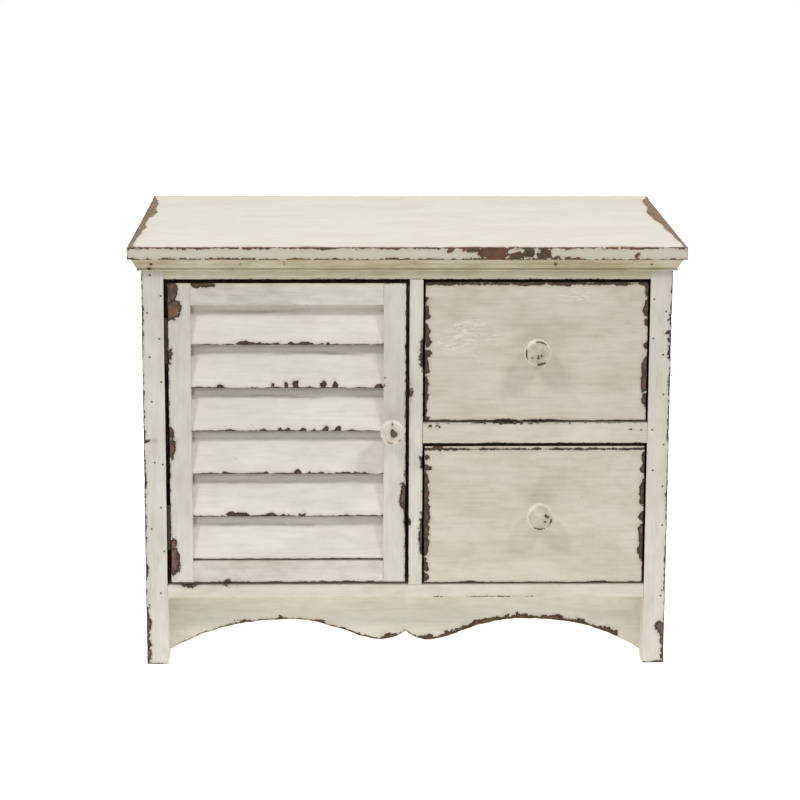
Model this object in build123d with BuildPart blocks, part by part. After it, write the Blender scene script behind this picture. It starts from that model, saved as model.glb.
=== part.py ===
from build123d import *
import os

os.makedirs("parts", exist_ok=True)

# A small painted cabinet for a table top: a louvred door on the left and two drawers on the right,
# in a face frame between two legs, under an overhanging top board with a crown moulding.
# Millimetres. +X is right, +Y is back, +Z is up. The origin is under the middle of the whole object.

# Overall sizes
top_width = 400.0
top_depth = 235.0
top_thick = 9.5
cabinet_height = 315.0
side_overhang = 9.0
front_overhang = 11.0
top_corner_round = 2.0
edge_ease = 0.6

# Face frame
frame_depth = 18.5
post_width = 16.0
top_rail_height = 16.0
bottom_rail_height = 10.0
bottom_rail_clear = 51.0
drawer_rail_height = 15.5
centre_stile_width = 10.0
door_opening_width = 176.5
lower_opening_height = 107.0

# Boards behind the face frame
side_thick = 8.0
base_thick = 8.0
shelf_thick = 8.0
back_thick = 3.0
back_margin = 1.0

# Cut-out in the lower edge of each side, which leaves two feet
side_front_foot = 14.0
side_rear_foot = 30.0
side_cut_height = 26.0
side_cut_round = 12.0

# Scalloped apron, heights above the floor
apron_thick = 7.0
apron_end_height = 4.0
apron_crest_height = 27.2
apron_lobe_height = 11.2
apron_notch_height = 18.0
apron_lobe_half_span = 17.0
apron_crest_shift = 4.0
apron_ogee_share = 0.27

# Crown moulding, profile measured out from the face and down from the top board
crown_height = 9.2
crown_reach = 6.5
crown_lip = 1.2
crown_cove_foot = 2.2
crown_quirk = 0.6
crown_bead_height = 2.8
crown_bead_reach = 3.1

# Louvred door
door_inset = 0.5
door_thick = 15.0
door_hinge_gap = 2.7
door_lock_gap = 2.3
door_top_gap = 3.0
door_bottom_gap = 2.0
door_stile_width = 16.2
door_rail_height = 16.2
door_tenon_length = 6.0
door_tenon_thick = 5.0
door_tenon_shoulder = 2.5
joint_fit = 0.05

# Slats, tilted so that each lower edge stands in front of the slat below
slat_count = 6
slat_width = 35.0
slat_thick = 3.6
slat_tilt = 15.0
slat_setback = 1.2
slat_housing = 4.0
slat_round = 1.0
slat_foot_gap = 1.3
top_slat_tuck = 2.8

# Butt hinges in the gap beside the door
hinge_height = 32.0
hinge_from_end = 42.0
hinge_leaf_width = 10.0
hinge_leaf_thick = 0.7
hinge_pin_diameter = 1.2
hinge_pin_play = 0.05
hinge_knuckle_play = 0.05
hinge_knuckle_gap = 0.2
hinge_knuckles = 5
hinge_relief = 0.15
hinge_pin_cap = 0.7
hinge_screw_diameter = 1.6
hinge_screw_head = 3.0
hinge_screw_length = 7.0
hinge_screw_spread = 18.0
hinge_screw_line = 6.4

# Turned wooden knobs
door_knob_diameter = 17.5
drawer_knob_diameter = 19.4
knob_length = 20.0
knob_cap_depth = 13.0
knob_neck_share = 0.5
knob_foot_flare = 1.4
knob_dome = 1.6
knob_shoulder = 1.3
knob_belly = 2.5
door_knob_inset = 10.0
door_knob_above_middle = 5.3
drawer_knob_above_middle = 2.6
lower_knob_aside = 3.2
knob_screw_diameter = 3.4
knob_screw_bite = 11.0
knob_screw_head = 7.0
knob_screw_head_height = 2.2
knob_screw_play = 0.3

# Magnetic catch for the door
catch_width = 10.0
catch_height = 30.0
catch_depth = 16.0
catch_above_middle = 57.0
catch_gap = 0.3
catch_wall = 2.0
magnet_depth = 9.0
strike_thick = 1.0
strike_width = 10.0
strike_height = 20.0
strike_margin = 1.0

# Drawers
drawer_inset = 0.6
drawer_front_thick = 10.0
drawer_side_gap = 1.3
drawer_top_gap = 2.4
drawer_bottom_gap = 1.4
drawer_run_gap = 0.3
drawer_back_gap = 0.5
drawer_side_thick = 6.0
drawer_back_thick = 6.0
drawer_side_height = 84.0
drawer_bottom_thick = 3.0
drawer_bottom_lift = 4.0
drawer_groove = 3.0
guide_height = 10.0

# Planes that the pieces share
knob_reach = knob_length - min(door_inset, drawer_inset)
total_depth = knob_reach + top_depth - front_overhang
face_y = knob_reach - total_depth / 2
rear_y = total_depth / 2
top_front_y = face_y - front_overhang
behind_frame_y = face_y + frame_depth
back_panel_y = rear_y - back_thick

body_half = top_width / 2 - side_overhang
post_inner = body_half - post_width
side_inner = body_half - side_thick
centre_left = -post_inner + door_opening_width
centre_right = centre_left + centre_stile_width

under_top = cabinet_height - top_thick
opening_top = under_top - top_rail_height
base_top = bottom_rail_clear + bottom_rail_height
drawer_rail_low = base_top + lower_opening_height
shelf_top = drawer_rail_low + drawer_rail_height

door_left = -post_inner + door_hinge_gap
door_right = centre_left - door_lock_gap
door_low = base_top + door_bottom_gap
door_high = opening_top - door_top_gap
door_front = face_y + door_inset
door_back = door_front + door_thick
louvre_left = door_left + door_stile_width
louvre_right = door_right - door_stile_width
louvre_low = door_low + door_rail_height
louvre_high = door_high - door_rail_height
slat_pitch = (louvre_high - louvre_low - slat_foot_gap + top_slat_tuck) / slat_count

knuckle_radius = door_hinge_gap / 2 - hinge_knuckle_play
bore_radius = hinge_pin_diameter / 2 + hinge_pin_play
hinge_x = -post_inner + door_hinge_gap / 2
hinge_y = face_y + door_hinge_gap / 2
hinge_levels = {"upper": door_high - hinge_from_end, "lower": door_low + hinge_from_end}


def board(x_span, y_span, z_span, mode=Mode.ADD):
    """A square-cut board that fills three (low, high) spans, added or cut."""
    with BuildSketch(Plane.XY.offset(z_span[0])) as section:
        with Locations(((x_span[0] + x_span[1]) / 2, (y_span[0] + y_span[1]) / 2)):
            Rectangle(x_span[1] - x_span[0], y_span[1] - y_span[0])
    extrude(section.sketch, amount=z_span[1] - z_span[0], mode=mode)


def side_span(sign, inner, outer):
    """The (low, high) span between two distances from the middle, on the side of this sign."""
    return tuple(sorted((sign * inner, sign * outer)))


def countersunk_screw():
    """A small wood screw along +Z, its head's flat face at the origin and its point up."""
    head = hinge_screw_head / 2
    shank = hinge_screw_diameter / 2
    with BuildPart() as screw:
        with BuildSketch(Plane.XZ):
            with BuildLine():
                Polyline(
                    (0, 0),
                    (head, 0),
                    (shank, hinge_leaf_thick),
                    (shank, hinge_screw_length - 2 * shank),
                    (0, hinge_screw_length),
                    close=True,
                )
            make_face()
        revolve(axis=Axis.Z)
    return screw.part


def countersunk_hole():
    """The countersunk hole that the hinge screw fills, along +Z."""
    shank = hinge_screw_diameter / 2 + joint_fit
    head = hinge_screw_head / 2 + joint_fit
    with BuildPart() as hole:
        with BuildSketch(Plane.XZ):
            with BuildLine():
                Polyline(
                    (0, 0),
                    (head, 0),
                    (shank, hinge_leaf_thick),
                    (shank, hinge_screw_length - 2 * shank),
                    (0, hinge_screw_length + joint_fit),
                    close=True,
                )
            make_face()
        revolve(axis=Axis.Z)
    return hole.part


hinge_screw = countersunk_screw()
hinge_screw_hole = countersunk_hole()


def hinge_screw_places(sign):
    """Where the hinge screws enter the post (sign -1) or the door's edge (sign +1), heads in the gap."""
    head_x = hinge_x + sign * (door_hinge_gap / 2 - hinge_leaf_thick)
    return [
        Plane(origin=(head_x, hinge_y + hinge_screw_line, level + step), z_dir=(sign, 0, 0)).location
        for level in hinge_levels.values()
        for step in (-hinge_screw_spread / 2, hinge_screw_spread / 2)
    ]


# Top board
with BuildPart() as top_board:
    board((-top_width / 2, top_width / 2), (top_front_y, rear_y), (under_top, cabinet_height))
    fillet(top_board.edges().filter_by(Axis.Z), top_corner_round)
    fillet(top_board.faces().sort_by(Axis.Z)[-1].edges(), edge_ease)
    fillet(top_board.faces().sort_by(Axis.Z)[0].edges(), edge_ease)
top_board.part.label = "top_board"
export_step(top_board.part, "parts/top_board.step")

# Legs of the face frame
for side, sign in (("left", -1), ("right", 1)):
    with BuildPart() as post:
        board(side_span(sign, post_inner, body_half), (face_y, behind_frame_y), (0, under_top))
        fillet(post.edges().filter_by(Axis.Z).group_by(Axis.Y)[0], edge_ease)
        if side == "left":
            with Locations(*hinge_screw_places(-1)):
                add(hinge_screw_hole, mode=Mode.SUBTRACT)
    post.part.label = f"{side}_post"
    export_step(post.part, f"parts/{side}_post.step")

# Rails and the centre stile of the face frame
with BuildPart() as top_rail:
    board((-post_inner, post_inner), (face_y, behind_frame_y), (opening_top, under_top))
    fillet(top_rail.edges().filter_by(Axis.X).group_by(Axis.Z)[0].sort_by(Axis.Y)[0], edge_ease)
top_rail.part.label = "top_rail"
export_step(top_rail.part, "parts/top_rail.step")

with BuildPart() as bottom_rail:
    board((-post_inner, post_inner), (face_y, behind_frame_y), (bottom_rail_clear, base_top))
    fillet(bottom_rail.edges().filter_by(Axis.X).group_by(Axis.Y)[0], edge_ease)
bottom_rail.part.label = "bottom_rail"
export_step(bottom_rail.part, "parts/bottom_rail.step")

with BuildPart() as centre_stile:
    board((centre_left, centre_right), (face_y, behind_frame_y), (base_top, opening_top))
    fillet(centre_stile.edges().filter_by(Axis.Z).group_by(Axis.Y)[0], edge_ease)
centre_stile.part.label = "centre_stile"
export_step(centre_stile.part, "parts/centre_stile.step")

with BuildPart() as drawer_rail:
    board((centre_right, post_inner), (face_y, behind_frame_y), (drawer_rail_low, shelf_top))
    fillet(drawer_rail.edges().filter_by(Axis.X).group_by(Axis.Y)[0], edge_ease)
drawer_rail.part.label = "drawer_rail"
export_step(drawer_rail.part, "parts/drawer_rail.step")

# Side boards, cut out below so that they stand on a front and a rear foot
for side, sign in (("left", -1), ("right", 1)):
    cut_front = behind_frame_y + side_front_foot
    cut_rear = rear_y - side_rear_foot
    x_span = side_span(sign, side_inner, body_half)
    with BuildPart() as side_board:
        board(x_span, (behind_frame_y, back_panel_y), (0, under_top))
        with BuildSketch(Plane.YZ.offset(x_span[0])) as foot_cut:
            with Locations(((cut_front + cut_rear) / 2, 0)):
                Rectangle(cut_rear - cut_front, 2 * side_cut_height)
            fillet(foot_cut.vertices().group_by(Axis.Y)[-1], side_cut_round)
        extrude(amount=x_span[1] - x_span[0], mode=Mode.SUBTRACT)
    side_board.part.label = f"{side}_side"
    export_step(side_board.part, f"parts/{side}_side.step")

# Boards inside
with BuildPart() as base_board:
    board((-side_inner, side_inner), (behind_frame_y, back_panel_y), (base_top - base_thick, base_top))
base_board.part.label = "base_board"
export_step(base_board.part, "parts/base_board.step")

with BuildPart() as partition:
    board((centre_left, centre_right), (behind_frame_y, back_panel_y), (base_top, under_top))
partition.part.label = "partition"
export_step(partition.part, "parts/partition.step")

with BuildPart() as drawer_shelf:
    board((centre_right, side_inner), (behind_frame_y, back_panel_y), (shelf_top - shelf_thick, shelf_top))
drawer_shelf.part.label = "drawer_shelf"
export_step(drawer_shelf.part, "parts/drawer_shelf.step")

with BuildPart() as back_panel:
    board(
        (-body_half + back_margin, body_half - back_margin),
        (back_panel_y, rear_y),
        (base_top - base_thick, under_top),
    )
back_panel.part.label = "back_panel"
export_step(back_panel.part, "parts/back_panel.step")

# Guide strips, flush with the right post's inner edge
for name, floor_z in (("upper_drawer_guide", shelf_top), ("lower_drawer_guide", base_top)):
    with BuildPart() as guide:
        board((post_inner, side_inner), (behind_frame_y, back_panel_y), (floor_z, floor_z + guide_height))
    guide.part.label = name
    export_step(guide.part, f"parts/{name}.step")

# Apron: from each end an arc rises to the crest, a reverse curve falls to the lobe, and the
# lobes meet in a pointed notch in the middle
apron_top = base_top - base_thick
crest_x = post_inner / 2 + apron_crest_shift
ogee_x = apron_lobe_half_span + apron_ogee_share * (crest_x - apron_lobe_half_span)
ogee_height = apron_lobe_height + apron_ogee_share * (apron_crest_height - apron_lobe_height)
with BuildPart() as apron:
    with BuildSketch(Plane.XZ.offset(-behind_frame_y)):
        with BuildLine():
            TangentArc(
                (apron_lobe_half_span, apron_lobe_height), (0, apron_notch_height), tangent=(-1, 0)
            )
            TangentArc(
                (apron_lobe_half_span, apron_lobe_height), (ogee_x, ogee_height), tangent=(1, 0)
            )
            TangentArc((crest_x, apron_crest_height), (ogee_x, ogee_height), tangent=(-1, 0))
            TangentArc((crest_x, apron_crest_height), (post_inner, apron_end_height), tangent=(1, 0))
            Polyline(
                (post_inner, apron_end_height),
                (side_inner, apron_end_height),
                (side_inner, apron_top),
                (0, apron_top),
            )
            mirror(about=Plane.YZ)
        make_face()
    extrude(amount=-apron_thick)
apron.part.label = "apron"
export_step(apron.part, "parts/apron.step")


def crown_section():
    """Half-closed outline of the crown: x runs out from the cabinet's face, y is height."""
    cove_low = under_top - crown_height + crown_bead_height + crown_quirk
    bead_high = cove_low - crown_quirk
    bead_low = bead_high - crown_bead_height
    quirk_x = crown_cove_foot - crown_quirk
    with BuildSketch() as section:
        with BuildLine():
            Polyline((quirk_x, bead_low), (0, bead_low), (0, under_top), (crown_reach, under_top))
            Line((crown_reach, under_top), (crown_reach, under_top - crown_lip))
            TangentArc(
                (crown_cove_foot, cove_low), (crown_reach, under_top - crown_lip), tangent=(0, 1)
            )
            Polyline((crown_cove_foot, cove_low), (quirk_x, cove_low), (quirk_x, bead_high))
            ThreePointArc(
                (quirk_x, bead_high),
                (crown_bead_reach, (bead_high + bead_low) / 2),
                (quirk_x, bead_low),
            )
        make_face()
    return section.sketch


crown_outline = crown_section()

# Crown moulding: a front length and two returns, mitred where they meet
front_plane = Plane(origin=(body_half + crown_reach, face_y, 0), x_dir=(0, -1, 0), z_dir=(-1, 0, 0))
with BuildPart() as crown_front:
    with BuildSketch(front_plane):
        add(crown_outline)
    extrude(amount=2 * (body_half + crown_reach))
    for sign in (-1, 1):
        split(
            bisect_by=Plane(origin=(sign * body_half, face_y, 0), z_dir=(-sign, -1, 0)),
            keep=Keep.TOP,
        )
crown_front.part.label = "crown_front"
export_step(crown_front.part, "parts/crown_front.step")

for side, sign in (("left", -1), ("right", 1)):
    return_plane = Plane(
        origin=(sign * body_half, face_y - crown_reach, 0), x_dir=(sign, 0, 0), z_dir=(0, -sign, 0)
    )
    with BuildPart() as crown_return:
        with BuildSketch(return_plane):
            add(crown_outline)
        extrude(amount=-sign * (rear_y - face_y + crown_reach))
        split(
            bisect_by=Plane(origin=(sign * body_half, face_y, 0), z_dir=(sign, 1, 0)),
            keep=Keep.TOP,
        )
    crown_return.part.label = f"crown_{side}"
    export_step(crown_return.part, f"parts/crown_{side}.step")


def slat(index, grow):
    """Slat number index, counted from the bottom, its section grown all round by grow."""
    foot_y = door_front + slat_setback
    foot_z = louvre_low + slat_foot_gap + index * slat_pitch
    with BuildPart() as piece:
        with BuildSketch(Plane.YZ.offset(louvre_left - slat_housing - grow)) as section:
            with Locations((foot_y, foot_z)):
                Rectangle(slat_thick, slat_width, rotation=-slat_tilt, align=(Align.MIN, Align.MIN))
            fillet(section.vertices(), slat_round)
            if grow > 0:
                offset(amount=grow)
        extrude(amount=louvre_right - louvre_left + 2 * (slat_housing + grow))
        if index == slat_count - 1:
            split(bisect_by=Plane.XY.offset(louvre_high), keep=Keep.BOTTOM)
    return piece.part


# Slats, named from the top down
slat_housings = []
for index in range(slat_count):
    slat_housings.append(slat(index, joint_fit))
    name = f"slat_{slat_count - index}"
    with BuildPart() as slat_piece:
        add(slat(index, 0))
    slat_piece.part.label = name
    export_step(slat_piece.part, f"parts/{name}.step")

# Rails of the door, with stub tenons
tenon_y = (door_front + door_back - door_tenon_thick) / 2
door_rails = {
    "door_bottom_rail": (door_low, louvre_low),
    "door_top_rail": (louvre_high, door_high),
}
for name, (low, high) in door_rails.items():
    with BuildPart() as rail:
        board((louvre_left, louvre_right), (door_front, door_back), (low, high))
        fillet(rail.edges().filter_by(Axis.X).group_by(Axis.Y)[0], edge_ease)
        board(
            (louvre_left - door_tenon_length, louvre_right + door_tenon_length),
            (tenon_y, tenon_y + door_tenon_thick),
            (low + door_tenon_shoulder, high - door_tenon_shoulder),
        )
    rail.part.label = name
    export_step(rail.part, f"parts/{name}.step")

# Where the knobs stand, and how a knob's own axis is turned to point out of the front
door_knob_x = door_right - door_knob_inset
door_knob_z = (door_low + door_high) / 2 + door_knob_above_middle


def knob_place(x, y, z):
    """A plane at this point whose normal points out of the front."""
    return Plane(origin=(x, y, z), x_dir=(1, 0, 0), z_dir=(0, -1, 0))


# Stiles of the door, mortised for the rails, housed for the slats and drilled for the knob
door_stiles = {
    "door_hinge_stile": (door_left, louvre_left),
    "door_lock_stile": (louvre_right, door_right),
}
for name, x_span in door_stiles.items():
    with BuildPart() as stile:
        board(x_span, (door_front, door_back), (door_low, door_high))
        fillet(stile.edges().filter_by(Axis.Z).group_by(Axis.Y)[0], edge_ease)
        for low, high in door_rails.values():
            board(
                (louvre_left - door_tenon_length - joint_fit, louvre_right + door_tenon_length + joint_fit),
                (tenon_y - joint_fit, tenon_y + door_tenon_thick + joint_fit),
                (low + door_tenon_shoulder - joint_fit, high - door_tenon_shoulder + joint_fit),
                mode=Mode.SUBTRACT,
            )
        for housing in slat_housings:
            add(housing, mode=Mode.SUBTRACT)
        if name == "door_hinge_stile":
            with Locations(*hinge_screw_places(1)):
                add(hinge_screw_hole, mode=Mode.SUBTRACT)
        else:
            with BuildSketch(knob_place(door_knob_x, door_back, door_knob_z)):
                Circle(knob_screw_diameter / 2 + knob_screw_play)
            extrude(amount=door_thick, mode=Mode.SUBTRACT)
    stile.part.label = name
    export_step(stile.part, f"parts/{name}.step")

# Screws of the hinges
for name, sign in (("frame_hinge_screws", -1), ("door_hinge_screws", 1)):
    with BuildPart() as screws:
        with Locations(*hinge_screw_places(sign)):
            add(hinge_screw)
    screws.part.label = name
    export_step(screws.part, f"parts/{name}.step")

# Hinges: each leaf is a plate that runs into its own knuckles and is relieved round the others
knuckle_pitch = (hinge_height + hinge_knuckle_gap) / hinge_knuckles
knuckle_height = knuckle_pitch - hinge_knuckle_gap
for level_name, level in hinge_levels.items():
    hinge_low = level - hinge_height / 2
    for owner, sign, own in (("frame", -1, 0), ("door", 1, 1)):
        plate_span = side_span(sign, door_hinge_gap / 2 - hinge_leaf_thick, door_hinge_gap / 2)
        with BuildPart() as leaf:
            board(
                (hinge_x + plate_span[0], hinge_x + plate_span[1]),
                (hinge_y, hinge_y + hinge_leaf_width),
                (hinge_low, hinge_low + hinge_height),
            )
            for knuckle in range(hinge_knuckles):
                knuckle_low = hinge_low + knuckle * knuckle_pitch
                if knuckle % 2 == own:
                    with BuildSketch(Plane.XY.offset(knuckle_low)):
                        with Locations((hinge_x, hinge_y)):
                            Circle(knuckle_radius)
                    extrude(amount=knuckle_height)
                else:
                    with BuildSketch(Plane.XY.offset(knuckle_low - hinge_knuckle_gap)):
                        with Locations((hinge_x, hinge_y)):
                            Circle(knuckle_radius + hinge_relief)
                    extrude(amount=knuckle_height + 2 * hinge_knuckle_gap, mode=Mode.SUBTRACT)
            with BuildSketch(Plane.XY.offset(hinge_low)):
                with Locations((hinge_x, hinge_y)):
                    Circle(bore_radius)
            extrude(amount=hinge_height, mode=Mode.SUBTRACT)
            with Locations(*hinge_screw_places(sign)):
                add(hinge_screw_hole, mode=Mode.SUBTRACT)
        leaf.part.label = f"{level_name}_hinge_{owner}_leaf"
        export_step(leaf.part, f"parts/{level_name}_hinge_{owner}_leaf.step")

    # The pin, headed over at both ends
    with BuildPart() as pin:
        with BuildSketch(Plane.XY.offset(hinge_low)):
            with Locations((hinge_x, hinge_y)):
                Circle(hinge_pin_diameter / 2)
        extrude(amount=hinge_height)
        for cap_low in (hinge_low - hinge_pin_cap, hinge_low + hinge_height):
            with BuildSketch(Plane.XY.offset(cap_low)):
                with Locations((hinge_x, hinge_y)):
                    Circle(knuckle_radius)
            extrude(amount=hinge_pin_cap)
    pin.part.label = f"{level_name}_hinge_pin"
    export_step(pin.part, f"parts/{level_name}_hinge_pin.step")

# Magnetic catch: a body on the partition with the magnet in its mouth, and a plate on the door
catch_z = (door_low + door_high) / 2 + catch_above_middle
catch_front = door_back + strike_thick + catch_gap
with BuildPart() as catch_body:
    board(
        (centre_left - catch_width, centre_left),
        (catch_front, catch_front + catch_depth),
        (catch_z - catch_height / 2, catch_z + catch_height / 2),
    )
    board(
        (centre_left - catch_width + catch_wall, centre_left - catch_wall),
        (catch_front, catch_front + magnet_depth),
        (catch_z - catch_height / 2 + 2 * catch_wall, catch_z + catch_height / 2 - 2 * catch_wall),
        mode=Mode.SUBTRACT,
    )
catch_body.part.label = "catch_body"
export_step(catch_body.part, "parts/catch_body.step")

with BuildPart() as catch_magnet:
    board(
        (centre_left - catch_width + catch_wall + joint_fit, centre_left - catch_wall - joint_fit),
        (catch_front, catch_front + magnet_depth),
        (
            catch_z - catch_height / 2 + 2 * catch_wall + joint_fit,
            catch_z + catch_height / 2 - 2 * catch_wall - joint_fit,
        ),
    )
catch_magnet.part.label = "catch_magnet"
export_step(catch_magnet.part, "parts/catch_magnet.step")

with BuildPart() as strike_plate:
    board(
        (door_right - strike_margin - strike_width, door_right - strike_margin),
        (door_back, door_back + strike_thick),
        (catch_z - strike_height / 2, catch_z + strike_height / 2),
    )
    fillet(strike_plate.edges().filter_by(Axis.Y), strike_margin)
strike_plate.part.label = "strike_plate"
export_step(strike_plate.part, "parts/strike_plate.step")


def turned_knob(diameter):
    """A turned knob along +Z: a flared foot, a waist, and a deep barrel-shaped cap with a low-domed face."""
    radius = diameter / 2
    neck = radius * knob_neck_share
    cap_low = knob_length - knob_cap_depth
    rim_low = cap_low + knob_shoulder / 2
    rim_high = knob_length - knob_dome
    belly_low = (rim_low + rim_high - knob_belly) / 2
    belly_high = belly_low + knob_belly
    with BuildPart() as knob:
        with BuildSketch(Plane.XZ):
            with BuildLine():
                Line((0, 0), (neck + knob_foot_flare, 0))
                ThreePointArc((neck + knob_foot_flare, 0), (neck, cap_low / 2), (neck + knob_foot_flare, cap_low))
                Line((neck + knob_foot_flare, cap_low), (radius - knob_shoulder, rim_low))
                TangentArc((radius, belly_low), (radius - knob_shoulder, rim_low), tangent=(0, -1))
                Line((radius, belly_low), (radius, belly_high))
                TangentArc((radius, belly_high), (radius - knob_shoulder, rim_high), tangent=(0, 1))
                TangentArc((0, knob_length), (radius - knob_shoulder, rim_high), tangent=(1, 0))
                Line((0, knob_length), (0, 0))
            make_face()
        revolve(axis=Axis.Z)
        with BuildSketch(Plane.XY):
            Circle(knob_screw_diameter / 2 + joint_fit)
        extrude(amount=knob_screw_bite, mode=Mode.SUBTRACT)
    return knob.part


def knob_screw(through):
    """A round-headed screw along +Z from the origin, through wood of this thickness and into a knob."""
    with BuildPart() as screw:
        with BuildSketch(Plane.XY):
            Circle(knob_screw_diameter / 2)
        extrude(amount=through + knob_screw_bite - joint_fit)
        with BuildSketch(Plane.XY):
            Circle(knob_screw_head / 2)
        extrude(amount=-knob_screw_head_height)
        head_rim = screw.faces().sort_by(Axis.Z)[0].edges()
        fillet(head_rim, knob_screw_head_height / 2)
    return screw.part


with BuildPart() as door_knob:
    with Locations(knob_place(door_knob_x, door_front, door_knob_z)):
        add(turned_knob(door_knob_diameter))
door_knob.part.label = "door_knob"
export_step(door_knob.part, "parts/door_knob.step")

with BuildPart() as door_knob_screw:
    with Locations(knob_place(door_knob_x, door_back, door_knob_z)):
        add(knob_screw(door_thick))
door_knob_screw.part.label = "door_knob_screw"
export_step(door_knob_screw.part, "parts/door_knob_screw.step")

# Drawers: a slab front with a box behind it, whose sides run on the board below
drawer_openings = {"upper_drawer": (shelf_top, opening_top), "lower_drawer": (base_top, drawer_rail_low)}
drawer_left = centre_right + drawer_side_gap
drawer_right = post_inner - drawer_side_gap
drawer_middle = (drawer_left + drawer_right) / 2
drawer_knob_aside = {"upper_drawer": 0.0, "lower_drawer": lower_knob_aside}
front_y = face_y + drawer_inset
box_front_y = front_y + drawer_front_thick
box_rear_y = back_panel_y - drawer_back_gap
drawer_sides = {
    "left": (drawer_left, drawer_left + drawer_side_thick),
    "right": (drawer_right - drawer_side_thick, drawer_right),
}

for drawer, (floor_z, ceiling_z) in drawer_openings.items():
    front_low = floor_z + drawer_bottom_gap
    front_high = ceiling_z - drawer_top_gap
    knob_z = (front_low + front_high) / 2 + drawer_knob_above_middle
    knob_x = drawer_middle + drawer_knob_aside[drawer]
    side_low = floor_z + drawer_run_gap
    side_high = side_low + drawer_side_height
    sheet_low = side_low + drawer_bottom_lift
    sheet_high = sheet_low + drawer_bottom_thick
    groove_left = drawer_left + drawer_side_thick - drawer_groove
    groove_right = drawer_right - drawer_side_thick + drawer_groove
    groove_span_z = (sheet_low - joint_fit, sheet_high + joint_fit)

    with BuildPart() as front:
        board((drawer_left, drawer_right), (front_y, box_front_y), (front_low, front_high))
        fillet(front.faces().sort_by(Axis.Y)[0].edges(), edge_ease)
        board(
            (groove_left - joint_fit, groove_right + joint_fit),
            (box_front_y - drawer_groove - joint_fit, box_front_y),
            groove_span_z,
            mode=Mode.SUBTRACT,
        )
        with BuildSketch(knob_place(knob_x, box_front_y, knob_z)):
            Circle(knob_screw_diameter / 2 + knob_screw_play)
        extrude(amount=drawer_front_thick, mode=Mode.SUBTRACT)
    front.part.label = f"{drawer}_front"
    export_step(front.part, f"parts/{drawer}_front.step")

    for side, x_span in drawer_sides.items():
        with BuildPart() as drawer_side:
            board(x_span, (box_front_y, box_rear_y), (side_low, side_high))
            board(
                (groove_left - joint_fit, groove_right + joint_fit),
                (box_front_y, box_rear_y),
                groove_span_z,
                mode=Mode.SUBTRACT,
            )
        drawer_side.part.label = f"{drawer}_{side}_side"
        export_step(drawer_side.part, f"parts/{drawer}_{side}_side.step")

    with BuildPart() as drawer_back:
        board(
            (drawer_left + drawer_side_thick, drawer_right - drawer_side_thick),
            (box_rear_y - drawer_back_thick, box_rear_y),
            (sheet_high, side_high),
        )
    drawer_back.part.label = f"{drawer}_back"
    export_step(drawer_back.part, f"parts/{drawer}_back.step")

    with BuildPart() as drawer_bottom:
        board(
            (groove_left, groove_right),
            (box_front_y - drawer_groove, box_rear_y),
            (sheet_low, sheet_high),
        )
    drawer_bottom.part.label = f"{drawer}_bottom"
    export_step(drawer_bottom.part, f"parts/{drawer}_bottom.step")

    with BuildPart() as drawer_knob:
        with Locations(knob_place(knob_x, front_y, knob_z)):
            add(turned_knob(drawer_knob_diameter))
    drawer_knob.part.label = f"{drawer}_knob"
    export_step(drawer_knob.part, f"parts/{drawer}_knob.step")

    with BuildPart() as drawer_knob_screw:
        with Locations(knob_place(knob_x, box_front_y, knob_z)):
            add(knob_screw(drawer_front_thick))
    drawer_knob_screw.part.label = f"{drawer}_knob_screw"
    export_step(drawer_knob_screw.part, f"parts/{drawer}_knob_screw.step")
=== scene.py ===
"""Looks of a small cabinet for a table top, with a louvred door and two drawers.

Cream chalk paint over brown wood, worn through along the edges. Every painted board is a closed surface
worked out from the box of its solid, and carries an attribute, loss, that says in millimetres how far
inside a bare patch each point lies. The paint reads that attribute, so a chip has its own relief and colour.
Lengths are in millimetres until a mesh is made, which is in metres.
"""

import logging
import math
from dataclasses import dataclass
from enum import Enum
from typing import Any, Callable, Optional, Sequence

import bpy
import numpy as np
from mathutils import Matrix, Vector


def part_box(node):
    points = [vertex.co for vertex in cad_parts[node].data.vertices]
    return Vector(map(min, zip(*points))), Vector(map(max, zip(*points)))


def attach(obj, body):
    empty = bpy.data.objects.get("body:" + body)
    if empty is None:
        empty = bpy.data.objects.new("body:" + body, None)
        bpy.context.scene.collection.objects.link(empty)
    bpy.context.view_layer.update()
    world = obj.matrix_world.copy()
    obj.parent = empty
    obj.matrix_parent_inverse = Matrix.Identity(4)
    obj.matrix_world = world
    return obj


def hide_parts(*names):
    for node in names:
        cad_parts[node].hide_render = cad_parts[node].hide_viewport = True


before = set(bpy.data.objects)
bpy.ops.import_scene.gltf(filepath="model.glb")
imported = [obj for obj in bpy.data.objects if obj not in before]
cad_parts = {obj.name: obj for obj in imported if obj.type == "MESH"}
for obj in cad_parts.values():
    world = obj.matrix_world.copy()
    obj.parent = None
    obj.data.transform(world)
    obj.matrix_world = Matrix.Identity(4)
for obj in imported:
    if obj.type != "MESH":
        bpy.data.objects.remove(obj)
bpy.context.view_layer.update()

MM = 0.001
PAINT_THICKNESS = 0.22
DENT_DEPTH = 0.45
# The loss where the paint is whole, far under that of any chip.
SOUND = -6.0
WHITE = (1.0, 1.0, 1.0, 1.0)
log = logging.getLogger("cabinet")

Array = np.ndarray
Place = tuple[float, float, float, float]
Box = tuple[Array, Array]
Tree = bpy.types.NodeTree
Material = bpy.types.Material
Socket = tuple[bpy.types.Node, Any]


class Side(Enum):
    """A side of a board, as its axis and which end of it."""

    LEFT = (0, 0)
    RIGHT = (0, 1)
    FRONT = (1, 0)
    BACK = (1, 1)
    BOTTOM = (2, 0)
    TOP = (2, 1)


LEFT, RIGHT, FRONT, BACK, BOTTOM, TOP = Side


class Grain(Enum):
    """The axis along which the wood's grain and the brush strokes run."""

    ALONG_X = 0
    ALONG_Y = 1
    ALONG_Z = 2


# Small tools for numbers and meshes


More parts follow.
